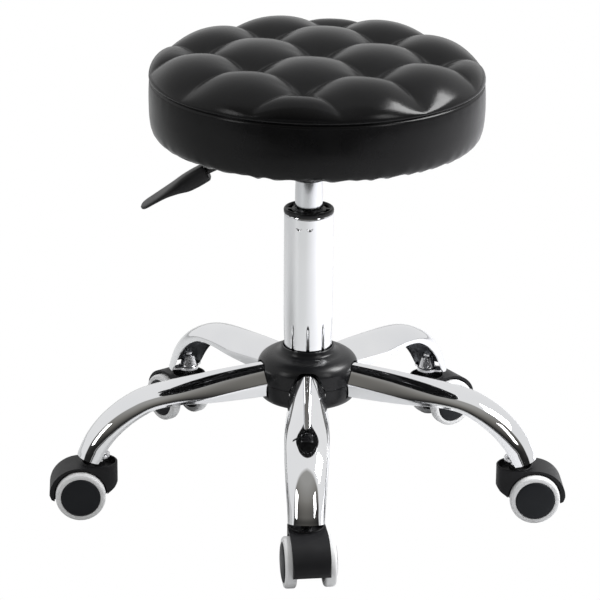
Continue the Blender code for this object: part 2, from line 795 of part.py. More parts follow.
def build_casters(axis, looks):
    hood, stem, rod, core, tyre = hood_mesh(), stem_mesh(), axle_mesh(), core_mesh(), tyre_mesh()
    for index in range(LEG_COUNT):
        number = index + 1
        azimuth = math.radians(leg_azimuth(index))
        place = (STEM_CIRCLE_R * math.cos(azimuth), STEM_CIRCLE_R * math.sin(azimuth), 0.0)
        swivel = empty(f"caster_{number}_swivel", place, axis, CASTER_HEADINGS[index])
        spindle = empty(f"caster_{number}_spindle", (TRAIL, 0.0, WHEEL_Z), swivel)
        add_object(f"caster_hood_{number}", hood, looks["caster_plastic"], swivel)
        add_object(f"caster_stem_{number}", stem, looks["steel"], swivel)
        add_object(f"caster_axle_{number}", rod, looks["steel"], spindle)
        for letter, turn in (("a", 0.0), ("b", math.pi)):
            for name, mesh, look in (("wheel_core", core, "disc_plastic"), ("tyre", tyre, "tyre")):
                piece = add_object(f"{name}_{number}{letter}", mesh, looks[look], spindle)
                piece.rotation_euler = (0.0, 0.0, turn)


def build_gas_lift(axis, looks):
    add_object("outer_tube", outer_tube_mesh(), looks["chrome"], axis)
    add_object("guide_bush", guide_bush_mesh(), looks["ring_plastic"], axis)
    add_object("gas_cylinder", gas_cylinder_mesh(), looks["steel"], axis)
    add_object("piston_rod", piston_rod_mesh(), looks["steel"], axis)
    add_object("thrust_bearing", thrust_bearing_mesh(), looks["steel"], axis)
    add_object("retaining_clip", retaining_clip_mesh(), looks["steel"], axis)
    add_object("release_pin", release_pin_mesh(), looks["steel"], axis)


def build_seat(axis, looks):
    add_object("seat_plate", seat_plate_mesh(), looks["black_steel"], axis)
    bolt = seat_bolt_mesh()
    places = [(x, y) for x in (-BOLT_X, BOLT_X) for y in (-BOLT_Y, BOLT_Y)]
    for number, (x, y) in enumerate(places, start=1):
        add_object(f"seat_bolt_{number}", bolt, looks["steel"], axis, (x, y, 0.0))
    pad = empty("seat_pad_centre", (SEAT_SHIFT_X, 0.0, 0.0), axis)
    add_object("seat_board", seat_board_mesh(), looks["plywood"], pad)
    add_object("seat_foam", seat_foam_mesh(), looks["foam"], pad)
    add_object("seat_cover", seat_cover_mesh(), looks["leather"], pad)


def build_lever(axis, looks):
    pivot = empty("lever_pivot", LEVER_PIVOT, axis)
    for name, mesh, look in (
        ("lever_rod", lever_rod_mesh(), "black_steel"),
        ("lever_handle", lever_handle_mesh(), "lever_plastic"),
    ):
        mesh.transform(Matrix.Translation(-Vector(LEVER_PIVOT) * MM))
        add_object(name, mesh, looks[look], pivot)


def main():
    clear_scene()
    looks = {
        "chrome": material("chrome", (0.83, 0.84, 0.86), 0.06, 1.0),
        "steel": material("steel", (0.55, 0.56, 0.58), 0.3, 1.0),
        "black_steel": material("black_steel", (0.03, 0.03, 0.03), 0.45),
        "hub_plastic": material("hub_plastic", (0.035, 0.036, 0.038), 0.4),
        "caster_plastic": material("caster_plastic", (0.05, 0.05, 0.052), 0.45),
        "disc_plastic": material("disc_plastic", (0.018, 0.02, 0.023), 0.3),
        "ring_plastic": material("ring_plastic", (0.02, 0.02, 0.022), 0.4),
        "lever_plastic": material("lever_plastic", (0.03, 0.03, 0.032), 0.4),
        "tyre": material("tyre", (0.68, 0.68, 0.69), 0.5),
        "leather": material("leather", (0.012, 0.012, 0.013), 0.25),
        "plywood": material("plywood", (0.55, 0.4, 0.24), 0.7),
        "foam": material("foam", (0.8, 0.76, 0.6), 0.9),
    }
    axis = empty("stool_axis", (0.0, AXIS_Y, 0.0))
    build_base(axis, looks)
    build_casters(axis, looks)
    build_gas_lift(axis, looks)
    build_seat(axis, looks)
    build_lever(axis, looks)


main()
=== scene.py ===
"""Looks of the rolling stylist stool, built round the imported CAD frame.

Shapes are worked out in millimetres about the column's axis and put into the row frame in metres.
"""

import math

import bmesh
import bpy
import numpy as np
from mathutils import Matrix, Vector
from mathutils.geometry import delaunay_2d_cdt


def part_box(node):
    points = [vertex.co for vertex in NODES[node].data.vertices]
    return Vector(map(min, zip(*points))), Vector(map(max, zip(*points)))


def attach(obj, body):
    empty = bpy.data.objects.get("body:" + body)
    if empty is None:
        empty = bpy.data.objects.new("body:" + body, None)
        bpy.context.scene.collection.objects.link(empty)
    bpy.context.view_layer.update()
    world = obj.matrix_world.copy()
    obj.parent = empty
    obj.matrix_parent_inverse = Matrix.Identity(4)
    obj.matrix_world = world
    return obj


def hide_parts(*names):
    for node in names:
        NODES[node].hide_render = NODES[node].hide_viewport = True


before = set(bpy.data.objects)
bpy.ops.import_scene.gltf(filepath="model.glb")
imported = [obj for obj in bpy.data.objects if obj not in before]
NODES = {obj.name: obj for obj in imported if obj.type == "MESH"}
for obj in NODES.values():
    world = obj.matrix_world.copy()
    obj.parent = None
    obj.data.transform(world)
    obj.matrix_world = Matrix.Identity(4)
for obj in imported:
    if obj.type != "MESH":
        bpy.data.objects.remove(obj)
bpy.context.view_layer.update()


def centre_of(node):
    low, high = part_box(node)
    return (low + high) / 2


AXIS = centre_of("outer_tube")
TO_FRAME = Matrix.Translation((AXIS.x, AXIS.y, 0.0)) @ Matrix.Scale(0.001, 4)
LEGS = range(1, 6)


def azimuth(n):
    """The way that leg n points, in radians."""
    return math.radians(-90.0 + 72.0 * (n - 1))


# Camera -------------------------------------------------------------------------------------------


def make_camera():
    yaw, pitch, roll = (math.radians(a) for a in (-0.197, 20.06, 0.393))
    forward = Vector((math.sin(yaw) * math.cos(pitch), math.cos(yaw) * math.cos(pitch), -math.sin(pitch)))
    level = Vector((math.cos(yaw), -math.sin(yaw), 0.0))
    upward = level.cross(forward)
    right = level * math.cos(roll) + upward * math.sin(roll)
    top = upward * math.cos(roll) - level * math.sin(roll)
    data = bpy.data.cameras.new("camera")
    data.lens = 181.853
    data.sensor_width = 36.0
    data.clip_start = 0.05
    data.clip_end = 50.0
    camera = bpy.data.objects.new("camera", data)
    bpy.context.scene.collection.objects.link(camera)
    turn = Matrix((right, top, -forward)).transposed().to_4x4()
    place = Vector((AXIS.x + 0.00163, AXIS.y - 2.86746, 1.2503))
    camera.matrix_world = Matrix.Translation(place) @ turn
    bpy.context.scene.camera = camera


make_camera()


# Materials ----------------------------------------------------------------------------------------


class Nodes:
    """Short calls for building a node tree."""

    def __init__(self, tree):
        self.tree = tree

    def add(self, kind, inputs=(), **settings):
        node = self.tree.nodes.new(kind)
        for name, value in settings.items():
            setattr(node, name, value)
        for key, value in dict(inputs).items():
            if isinstance(value, bpy.types.NodeSocket):
                self.tree.links.new(value, node.inputs[key])
            else:
                node.inputs[key].default_value = value
        return node

    def noise(self, vector, scale, detail=2.0, roughness=0.5):
        node = self.add(
            "ShaderNodeTexNoise",
            {"Vector": vector, "Scale": scale, "Detail": detail, "Roughness": roughness},
        )
        return node.outputs["Fac"]

    def math(self, operation, first, second=0.0):
        return self.add("ShaderNodeMath", {0: first, 1: second}, operation=operation).outputs[0]

    def spread(self, value, low, high, from_low=0.0, from_high=1.0):
        node = self.add(
            "ShaderNodeMapRange",
            {"Value": value, "From Min": from_low, "From Max": from_high, "To Min": low, "To Max": high},
        )
        return node.outputs["Result"]

    def ramp(self, value, *stops):
        node = self.add("ShaderNodeValToRGB", {"Fac": value})
        elements = node.color_ramp.elements
        while len(elements) < len(stops):
            elements.new(0.5)
        for element, (place, colour) in zip(elements, stops):
            element.position = place
            element.color = (*colour, 1.0)
        return node.outputs["Color"]

    def mix(self, factor, first, second):
        """Blend two colours; each is a colour or a socket."""
        node = self.add("ShaderNodeMix", {0: factor}, data_type="RGBA")
        for socket, colour in zip((s for s in node.inputs if s.type == "RGBA"), (first, second)):
            if isinstance(colour, bpy.types.NodeSocket):
                self.tree.links.new(colour, socket)
            else:
                socket.default_value = (*colour, 1.0)
        return next(s for s in node.outputs if s.type == "RGBA")

    def bump(self, height, strength, distance, normal=None):
        inputs = {"Height": height, "Strength": strength, "Distance": distance}
        if normal is not None:
            inputs["Normal"] = normal
        return self.add("ShaderNodeBump", inputs).outputs["Normal"]


def new_material(name, **values):
    """A Principled material; values are the shader's sockets that are the same all over."""
    mat = bpy.data.materials.new(name)
    mat.use_nodes = True
    nodes = Nodes(mat.node_tree)
    shader = mat.node_tree.nodes["Principled BSDF"]
    for key, value in values.items():
        shader.inputs[key.replace("_", " ")].default_value = value
    place = nodes.add("ShaderNodeTexCoord").outputs["Object"]
    return mat, nodes, shader, place


def link(nodes, output, shader, name):
    nodes.tree.links.new(output, shader.inputs[name])


def leather_material():
    """Smooth coated fabric: a shallow grain of soft pebbles, uneven gloss, faint stretch marks."""
    mat, n, shader, place = new_material("coated_leather", Specular_IOR_Level=0.17, IOR=1.5)
    slow = n.noise(place, 22.0, 3.0)
    pebbles = {"Vector": place, "Scale": 620.0, "Randomness": 1.0}
    cells = n.add("ShaderNodeTexVoronoi", pebbles, feature="SMOOTH_F1").outputs["Distance"]
    fine = n.noise(place, 1900.0, 3.0, 0.6)
    creases = n.noise(place, 140.0, 4.0, 0.62)
    colour = n.ramp(slow, (0.3, (0.0036, 0.0036, 0.0038)), (0.7, (0.0056, 0.0056, 0.0060)))
    link(n, colour, shader, "Base Color")
    wear = n.math("ADD", slow, n.math("MULTIPLY", creases, 0.5))
    link(n, n.spread(wear, 0.17, 0.28, 0.4, 1.1), shader, "Roughness")
    height = n.math("ADD", n.math("MULTIPLY", cells, 0.8), n.math("MULTIPLY", fine, 0.35))
    normal = n.bump(creases, 0.10, 0.0006)
    link(n, n.bump(height, 0.16, 0.00022, normal), shader, "Normal")
    return mat


def chrome_material():
    """Bright plating: a slight wave left by the press, fine hairlines and a trace of handling."""
    mat, n, shader, place = new_material("chrome_plate", Metallic=1.0)
    slow = n.noise(place, 14.0, 2.0)
    hair_place = n.add("ShaderNodeMapping", {"Vector": place, "Scale": (30.0, 900.0, 900.0)}).outputs[0]
    hair = n.noise(hair_place, 1.0, 3.0, 0.7)
    link(n, n.ramp(slow, (0.25, (0.80, 0.81, 0.83)), (0.75, (0.86, 0.865, 0.875))), shader, "Base Color")
    link(n, n.spread(n.math("ADD", slow, hair), 0.018, 0.060, 0.7, 1.4), shader, "Roughness")
    normal = n.bump(slow, 0.10, 0.004)
    link(n, n.bump(hair, 0.03, 0.00006, normal), shader, "Normal")
    return mat


def steel_material(name, light, dark, low, high, stretch):
    """Drawn steel with fine lines; stretch is the noise's scale along x, y and z."""
    mat, n, shader, place = new_material(name, Metallic=1.0)
    drawn = n.add("ShaderNodeMapping", {"Vector": place, "Scale": stretch}).outputs[0]
    lines = n.noise(drawn, 1.0, 4.0, 0.65)
    slow = n.noise(place, 30.0, 2.0)
    link(n, n.ramp(lines, (0.3, dark), (0.7, light)), shader, "Base Color")
    link(n, n.spread(n.math("ADD", lines, slow), low, high, 0.6, 1.4), shader, "Roughness")
    link(n, n.bump(lines, 0.12, 0.00008), shader, "Normal")
    return mat


def plastic_material(name, light, dark, low, high, grain, depth, gloss=0.3):
    """Moulded plastic: an eroded tool texture, slight flow marks and polished high spots."""
    mat, n, shader, place = new_material(name, IOR=1.5, Specular_IOR_Level=gloss)
    slow = n.noise(place, 35.0, 3.0, 0.55)
    pits = n.noise(place, grain, 4.0, 0.7)
    link(n, n.ramp(slow, (0.3, dark), (0.7, light)), shader, "Base Color")
    link(n, n.spread(n.math("ADD", slow, pits), low, high, 0.7, 1.3), shader, "Roughness")
    normal = n.bump(slow, 0.06, 0.002)
    link(n, n.bump(pits, 0.25, depth, normal), shader, "Normal")
    return mat


def tyre_material():
    """Pale polyurethane with dust in its pores and a slightly dull tread."""
    mat, n, shader, place = new_material("tyre_pu", IOR=1.48)
    slow = n.noise(place, 60.0, 3.0, 0.6)
    pores = n.noise(place, 1500.0, 3.0, 0.6)
    link(n, n.ramp(slow, (0.25, (0.66, 0.665, 0.675)), (0.75, (0.74, 0.745, 0.75))), shader, "Base Color")
    link(n, n.spread(n.math("ADD", slow, pores), 0.38, 0.58, 0.7, 1.3), shader, "Roughness")
    link(n, n.bump(pores, 0.2, 0.00008), shader, "Normal")
    return mat


def plywood_material():
    """Birch ply: grain stretched along x, with glue lines where the veneers show at the edge."""
    mat, n, shader, place = new_material("plywood")
    along = n.add("ShaderNodeMapping", {"Vector": place, "Scale": (9.0, 160.0, 900.0)}).outputs[0]
    grain = n.noise(along, 1.0, 5.0, 0.65)
    pores = n.noise(place, 700.0, 3.0, 0.6)
    link(n, n.ramp(grain, (0.3, (0.42, 0.27, 0.14)), (0.7, (0.62, 0.44, 0.26))), shader, "Base Color")
    link(n, n.spread(grain, 0.5, 0.7), shader, "Roughness")
    link(n, n.bump(n.math("ADD", grain, pores), 0.35, 0.0003), shader, "Normal")
    return mat


def felt_material():
    """Black non-woven fabric: matted fibres, no gloss."""
    mat, n, shader, place = new_material("black_felt", Specular_IOR_Level=0.1, Sheen_Weight=0.02)
    fibres = n.noise(place, 900.0, 5.0, 0.75)
    slow = n.noise(place, 30.0, 3.0)
    link(n, n.ramp(slow, (0.3, (0.004, 0.004, 0.0042)), (0.7, (0.007, 0.007, 0.0072))), shader, "Base Color")
    link(n, n.spread(fibres, 0.8, 0.98), shader, "Roughness")
    link(n, n.bump(fibres, 0.5, 0.0003), shader, "Normal")
    return mat


def foam_material():
    mat, n, shader, place = new_material("cut_foam")
    cells = n.add("ShaderNodeTexVoronoi", {"Vector": place, "Scale": 520.0}).outputs["Distance"]
    slow = n.noise(place, 40.0, 2.0)
    link(n, n.ramp(slow, (0.3, (0.60, 0.55, 0.40)), (0.7, (0.72, 0.67, 0.52))), shader, "Base Color")
    link(n, n.spread(slow, 0.85, 0.98), shader, "Roughness")
    link(n, n.bump(cells, 0.7, 0.0006), shader, "Normal")
    return mat


LEATHER = leather_material()
CHROME = chrome_material()
SATIN = steel_material(
    "satin_steel", (0.76, 0.77, 0.79), (0.71, 0.72, 0.74), 0.12, 0.20, (350.0, 350.0, 8.0)
)
BRIGHT = steel_material(
    "bright_steel", (0.72, 0.72, 0.73), (0.55, 0.55, 0.57), 0.16, 0.32, (160.0, 160.0, 160.0)
)
BLACK_STEEL = plastic_material(
    "black_powder_coat", (0.018, 0.018, 0.019), (0.010, 0.010, 0.011), 0.32, 0.5, 520.0, 0.00025
)
HUB = plastic_material(
    "hub_black", (0.0070, 0.0073, 0.0083), (0.0045, 0.0047, 0.0056), 0.24, 0.36, 1300.0, 0.00006
)
NYLON = plastic_material(
    "caster_nylon", (0.0125, 0.0126, 0.0140), (0.0080, 0.0081, 0.0092), 0.40, 0.52, 1100.0, 0.00010, 0.18
)
DISC = plastic_material(
    "wheel_disc_black", (0.0090, 0.0104, 0.0130), (0.0062, 0.0074, 0.0096), 0.38, 0.5, 1100.0, 0.00008, 0.2
)
RING = plastic_material(
    "guide_ring_black", (0.014, 0.014, 0.015), (0.009, 0.009, 0.010), 0.30, 0.42, 1300.0, 0.00006
)
PADDLE = plastic_material(
    "paddle_black", (0.017, 0.017, 0.018), (0.011, 0.011, 0.012), 0.34, 0.46, 900.0, 0.00012
)
TYRE = tyre_material()
PLYWOOD = plywood_material()
FOAM = foam_material()
FELT = felt_material()
LEG_INSIDE = steel_material(
    "dull_plating", (0.30, 0.31, 0.33), (0.17, 0.18, 0.19), 0.38, 0.55, (60.0, 60.0, 60.0)
)


# Mesh helpers -------------------------------------------------------------------------------------


def finish_mesh(name, bm, sharp=35.0):
    bmesh.ops.remove_doubles(bm, verts=bm.verts, dist=1e-4)
    bmesh.ops.recalc_face_normals(bm, faces=bm.faces)
    mesh = bpy.data.meshes.new(name)
    bm.to_mesh(mesh)
    bm.free()
    mesh.shade_smooth()
    mesh.set_sharp_from_angle(angle=math.radians(sharp))
    return mesh


def piece(name, mesh, mat, body, nodes=(), place=None):
    """A piece of the object from a mesh in millimetres, standing about the column's axis."""
    mesh.transform(TO_FRAME @ (place or Matrix.Identity(4)))
    for one in mat if isinstance(mat, tuple) else (mat,):
        mesh.materials.append(one)
    obj = bpy.data.objects.new(name, mesh)
    bpy.context.scene.collection.objects.link(obj)
    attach(obj, body)
    if nodes:
        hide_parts(*nodes)
    return obj


def bevel(obj, width, segments=2, angle=35.0):
    """Round the sharp edges; width is in millimetres."""
    step = obj.modifiers.new("rounded_edges", "BEVEL")
    step.width = width * 0.001
    step.segments = segments
    step.limit_method = "ANGLE"
    step.angle_limit = math.radians(angle)
    step.harden_normals = False
    return obj


def spline(rows, samples):
    """A smooth curve through the rows (Catmull-Rom), sampled evenly in its parameter."""
    rows = np.array(rows, float)
    padded = np.vstack([2 * rows[0] - rows[1], rows, 2 * rows[-1] - rows[-2]])
    t = np.linspace(0.0, len(rows) - 1.0, samples)
    i = np.minimum(t.astype(int), len(rows) - 2)
    f = (t - i)[:, None]
    a, b, c, d = padded[i], padded[i + 1], padded[i + 2], padded[i + 3]
    return b + 0.5 * f * (c - a + f * (2 * a - 5 * b + 4 * c - d + f * (3 * (b - c) + d - a)))


def rounded(points, radius, steps=4, closed=False):
    """Round the corners of a flat line; radius is one number or one for each point."""
    points = [np.array(p, float) for p in points]
    count = len(points)
    radii = [radius] * count if np.isscalar(radius) else list(radius)
    out = []
    for i, here in enumerate(points):
        ends = not closed and i in (0, count - 1)
        before = points[i - 1]
        after = points[(i + 1) % count]
        if ends or radii[i] <= 0.0:
            out.append(here)
            continue
        back = before - here
        on = after - here
        reach = min(radii[i], 0.48 * np.linalg.norm(back), 0.48 * np.linalg.norm(on))
        start = here + back / np.linalg.norm(back) * reach
        end = here + on / np.linalg.norm(on) * reach
        for step in range(steps + 1):
            t = step / steps
            out.append((1 - t) ** 2 * start + 2 * t * (1 - t) * here + t * t * end)
    return [tuple(p) for p in out]


def lathe(profile, steps, closed=True, axis="Z", angles=None):
    """Turn a profile of (radius, height) points about an axis through the origin."""
    bm = bmesh.new()
    turns = np.linspace(0.0, 2 * math.pi, steps, endpoint=False) if angles is None else angles
    rings = []
    for turn in turns:
        c, s = math.cos(turn), math.sin(turn)
        rings.append([bm.verts.new((r * c, r * s, z)) for r, z in profile])
    count = len(profile)
    spans = [(i, (i + 1) % count) for i in range(count if closed else count - 1)]
    for near, far in zip(rings, rings[1:] + rings[:1]):
        for i, j in spans:
            if profile[i][0] < 1e-6 and profile[j][0] < 1e-6:
                continue
            bm.faces.new((near[i], near[j], far[j], far[i]))
    bmesh.ops.remove_doubles(bm, verts=bm.verts, dist=1e-4)
    bmesh.ops.dissolve_degenerate(bm, edges=bm.edges, dist=1e-6)
    if axis == "Y":
        bm.transform(Matrix.Rotation(-math.pi / 2, 4, "X"))
    return bm


def loft(rings, caps=True):
    """A skin over closed rings that all have the same number of points."""
    bm = bmesh.new()
    made = [[bm.verts.new(p) for p in ring] for ring in rings]
    count = len(made[0])
    for near, far in zip(made, made[1:]):
        for i in range(count):
            j = (i + 1) % count
            bm.faces.new((near[i], near[j], far[j], far[i]))
    if caps:
        bm.faces.new(made[0][::-1])
        bm.faces.new(made[-1])
    return bm


def prism(outline, low, high, axis="Z"):
    if axis == "Z":
        rings = [[(x, y, h) for x, y in outline] for h in (low, high)]
    elif axis == "Y":
        rings = [[(x, h, z) for x, z in outline] for h in (low, high)]
    else:
        rings = [[(h, y, z) for y, z in outline] for h in (low, high)]
    return loft(rings)


def cut(mesh, *tools):
    """Boolean steps on a mesh: each tool is (operation, bmesh)."""
    obj = bpy.data.objects.new("work", mesh)
    bpy.context.scene.collection.objects.link(obj)
    for operation, bm in tools:
        tool = bpy.data.objects.new("tool", finish_mesh("tool", bm))
        bpy.context.scene.collection.objects.link(tool)
        step = obj.modifiers.new("step", "BOOLEAN")
        step.operation = operation
        step.solver = "EXACT"
        step.object = tool
        graph = bpy.context.evaluated_depsgraph_get()
        result = bpy.data.meshes.new_from_object(obj.evaluated_get(graph))
        obj.modifiers.clear()
        obj.data = result
        bpy.data.objects.remove(tool, do_unlink=True)
    result = obj.data
    bpy.data.objects.remove(obj, do_unlink=True)
    result.shade_smooth()
    result.set_sharp_from_angle(angle=math.radians(35.0))
    return result


def wave(turn, *terms):
    """A repeatable uneven wave round the axis: each term is (count, phase, size)."""
    return sum(size * np.sin(count * turn + phase) for count, phase, size in terms)


# Legs ---------------------------------------------------------------------------------------------

# Crown reach and height, edge reach and height, half width, crease share, lip half width, roundness
LEG_SECTIONS = (
    (30.0, 142.8, 30.0, 110.8, 16.6, 0.56, 14.4, 0.0),
    (52.0, 141.0, 52.0, 110.4, 17.4, 0.56, 15.0, 0.0),
    (85.0, 138.3, 85.0, 110.9, 19.6, 0.66, 18.0, 0.25),
    (117.0, 134.7, 114.0, 112.4, 21.4, 0.80, 20.9, 0.65),
    (150.0, 130.2, 143.0, 114.2, 22.0, 0.88, 22.0, 1.0),
    (173.0, 125.5, 165.2, 112.0, 22.0, 0.88, 22.0, 1.0),
    (190.0, 118.6, 181.2, 105.0, 21.6, 0.88, 21.5, 1.0),
    (205.5, 109.3, 194.3, 96.0, 20.8, 0.88, 20.6, 1.0),
    (219.6, 97.2, 204.8, 86.4, 19.9, 0.88, 19.7, 1.0),
    (230.6, 83.6, 212.3, 77.3, 19.0, 0.88, 18.8, 1.0),
    (237.6, 70.5, 217.8, 68.7, 18.3, 0.88, 18.2, 1.0),
    (240.6, 62.9, 224.3, 58.5, 17.9, 0.88, 17.8, 1.0),
)
LEG_STATIONS = 112
LEG_WALL = 1.7
# The narrow ridge near the hub: share of the half width, share of the depth to the crease
RIDGE = rounded([(0.0, 0.0), (0.24, 0.01), (0.62, 0.27), (1.0, 1.0)], (0.0, 0.10, 0.30, 0.0), 5)
ARCH_POINTS = 18
FLANGE_POINTS = 5


def even_line(points, count):
    """The same line with its points spread evenly along it."""
    points = np.array(points, float)
    steps = np.hypot(*np.diff(points, axis=0).T)
    along = np.concatenate([[0.0], np.cumsum(steps)])
    at = np.linspace(0.0, along[-1], count)
    return np.stack([np.interp(at, along, points[:, k]) for k in range(points.shape[1])], axis=1)


RIDGE_LINE = even_line(RIDGE, ARCH_POINTS)


def half_section(width, crease, lip, depth, roundness):
    turn = np.linspace(0.0, math.pi / 2, ARCH_POINTS)
    arch = np.stack([np.sin(turn), 1.0 - np.cos(turn)], axis=1)
    crown = (arch * roundness + RIDGE_LINE * (1.0 - roundness)) * (width, crease * depth)
    share = np.linspace(0.0, 1.0, FLANGE_POINTS + 1)[1:, None]
    flange = crown[-1] + share * (np.array((lip, depth)) - crown[-1])
    return np.vstack([crown, flange])


def wall_ring(half):
    """The closed section of the pressed sheet: outside, rounded lip, inside, rounded lip."""
    outer = np.vstack([half[:0:-1] * (-1.0, 1.0), half])
    tangent = np.gradient(outer, axis=0)
    tangent /= np.linalg.norm(tangent, axis=1)[:, None]
    inward = np.stack([-tangent[:, 1], tangent[:, 0]], axis=1)
    inner = outer + inward * LEG_WALL
    middle_end = (outer[-1] + inner[-1]) / 2 + tangent[-1] * LEG_WALL * 0.42
    middle_start = (outer[0] + inner[0]) / 2 - tangent[0] * LEG_WALL * 0.42
    return np.vstack([outer, middle_end[None], inner[::-1], middle_start[None]])


def leg_mesh():
    sections = spline(LEG_SECTIONS, LEG_STATIONS)
    rings = []
    for reach, top, edge_reach, edge, width, crease, lip, roundness in sections:
        crown = np.array((reach, top))
        foot = np.array((edge_reach, edge))
        depth = np.linalg.norm(foot - crown)
        down = (foot - crown) / depth
        ring = wall_ring(half_section(width, crease, lip, depth, min(max(roundness, 0.0), 1.0)))
        rings.append([(crown[0] + down[0] * d, w, crown[1] + down[1] * d) for w, d in ring])
    bm = loft(rings, caps=False)
    bm.verts.ensure_lookup_table()
    count = len(rings[0])
    outer = (count - 2) // 2
    for start in (0, (len(rings) - 1) * count):
        ring = [bm.verts[start + i] for i in range(count)]
        for i in range(outer - 1):
            bm.faces.new((ring[i], ring[i + 1], ring[count - 3 - i], ring[count - 2 - i]))
        bm.faces.new((ring[outer - 1], ring[outer], ring[outer + 1]))
        bm.faces.new((ring[count - 1], ring[0], ring[count - 2]))
    bm.verts.index_update()
    for face in bm.faces:
        if all(outer < vert.index % count < count - 1 for vert in face.verts):
            face.material_index = 1
    return finish_mesh("leg", bm, 40.0)


STEM_REACH = 219.0
SOCKET_PROFILE = rounded(
    [
        (0.0, 59.8),
        (10.8, 59.8),
        (10.8, 63.2),
        (8.65, 63.8),
        (6.4, 75.0),
        (0.0, 75.0),
    ],
    (0.0, 0.6, 0.7, 1.2, 0.7, 0.0),
)
SOCKET_HOLE = [(0.0, 50.0), (5.8, 50.0), (5.8, 70.8), (3.9, 71.6), (3.9, 80.0), (0.0, 80.0)]


def bracket_outline(side):
    """A small web plate between the socket and one side of the channel, seen from above."""
    return [(213.6, side * 5.0), (227.0, side * 5.0), (227.0, side * 17.0), (219.8, side * 17.0)]


def legs():
    for n in LEGS:
        turn = Matrix.Rotation(azimuth(n), 4, "Z")
        piece(f"leg_{n}_channel", leg_mesh(), (CHROME, LEG_INSIDE), "base", [f"leg_{n}"], turn)
        socket = lathe(SOCKET_PROFILE, 64, closed=False)
        hole = lathe(SOCKET_HOLE, 48, closed=False)
        mesh = cut(finish_mesh("socket", socket), ("DIFFERENCE", hole))
        at_stem = turn @ Matrix.Translation((STEM_REACH, 0.0, 0.0))
        bevel(piece(f"leg_{n}_socket", mesh, BRIGHT, "base", (), at_stem), 0.25)
        for side, mark in ((-1.0, "a"), (1.0, "b")):
            plate = finish_mesh("bracket", prism(rounded(bracket_outline(side), 1.2, 3, True), 60.7, 62.8))
            bevel(piece(f"leg_{n}_bracket_{mark}", plate, BRIGHT, "base", (), turn), 0.3)


legs()


# Hub ----------------------------------------------------------------------------------------------


def hub_opening(low):
    """The way out for one leg along +X: a rounded arch, narrow at the top."""
    right = [(18.1, low), (18.1, 123.6), (15.1, 130.6), (9.4, 142.4)]
    outline = [(-18.1, low)] + right + [(-y, z) for y, z in right[:0:-1]]
    outline = rounded(outline, (0.0, 0.0, 8.0, 6.0, 7.0, 7.0, 6.0, 8.0), 8, True)
    return prism(outline, 35.0, 60.0, "X")


def hub_shell(name, profile, low):
    mesh = finish_mesh(name, lathe(profile, 180))
    tools = []
    for n in LEGS:
        tool = hub_opening(low)
        tool.transform(Matrix.Rotation(azimuth(n), 4, "Z"))
        tools.append(("DIFFERENCE", tool))
    return cut(mesh, *tools)


def hub():
    outside = [(27.6, 152.9), (28.9, 150.9), (32.5, 149.3), (37.5, 148.4), (42.4, 146.8), (47.2, 143.4)]
    outside += [(50.0, 139.0), (50.9, 134.0), (51.0, 122.9)]
    outside = spline(outside, 44)
    inside = [(48.6, 122.9), (48.4, 133.4), (47.2, 137.6), (44.6, 141.2), (38.6, 145.2), (30.6, 147.7)]
    inside = spline(inside, 24)
    profile = [tuple(p) for p in outside] + [tuple(p) for p in inside]
    collar = [(24.9, 149.9), (24.9, 156.2), (27.1, 156.2), (27.6, 152.9)]
    profile += rounded(collar, (0.0, 0.7, 0.9, 0.0), 4)[:-1]
    upper = piece("hub_upper_shell", hub_shell("hub_upper_shell", profile, 118.0), HUB, "base",
                  ["hub_cover_top"])
    bevel(upper, 0.45, 3)
    outside = [(51.0, 122.4), (50.9, 117.0), (50.5, 111.5), (49.3, 106.6), (46.4, 102.6), (42.0, 101.2)]
    outside = spline(outside + [(37.0, 101.0)], 36)
    inside = [(37.0, 103.4), (43.4, 103.9), (46.6, 107.0), (48.1, 111.5), (48.5, 117.0), (48.6, 122.4)]
    inside = spline(inside, 24)
    profile = [tuple(p) for p in outside]
    profile += [(24.6, 101.0), (24.6, 103.4)]
    profile += [tuple(p) for p in inside]
    lower = piece("hub_lower_shell", hub_shell("hub_lower_shell", profile, 109.4), HUB, "base",
                  ["hub_cover_bottom"])
    bevel(lower, 0.45, 3)


hub()


# Casters ------------------------------------------------------------------------------------------

TRAIL = 19.0
WHEEL_Z = 24.85
WEB_HALF = 12.9
# The fender's half axes, the boss's radius and the room cut for each wheel
FENDER_A = 31.2
FENDER_B = 29.0
BOSS_R = 18.3
WHEEL_ROOM_R = 26.6


def hood_side():
    """The hood seen from its side, in X and Z."""
    outline = [(-19.4, 54.4), (-19.4, 38.0), (-18.3, 33.4), (-15.2, 29.6), (-11.0, 27.2), (-8.0, 25.4)]
    outline += [(0.0, 18.6), (8.0, 15.0), (TRAIL, 14.2), (32.0, 15.6)]
    outline += [(TRAIL + 27.0, 19.4), (TRAIL + 29.2, 20.4)]
    for step in range(0, 46):
        turn = math.radians(step * 2.0)
        outline.append((TRAIL + FENDER_A * math.cos(turn), WHEEL_Z + FENDER_B * math.sin(turn)))
    return outline


def hood_plan():
    """The hood seen from above: round about the stem, straight sides, rounded far corners."""
    outline = [
        (BOSS_R * math.cos(math.radians(90.0 + 5.0 * k)), BOSS_R * math.sin(math.radians(90.0 + 5.0 * k)))
        for k in range(37)
    ]
    far = TRAIL + 32.0
    corners = [(30.0, -BOSS_R), (far, -BOSS_R), (far, BOSS_R), (30.0, BOSS_R)]
    return outline + rounded(corners, (0.0, 4.5, 4.5, 0.0), 8)


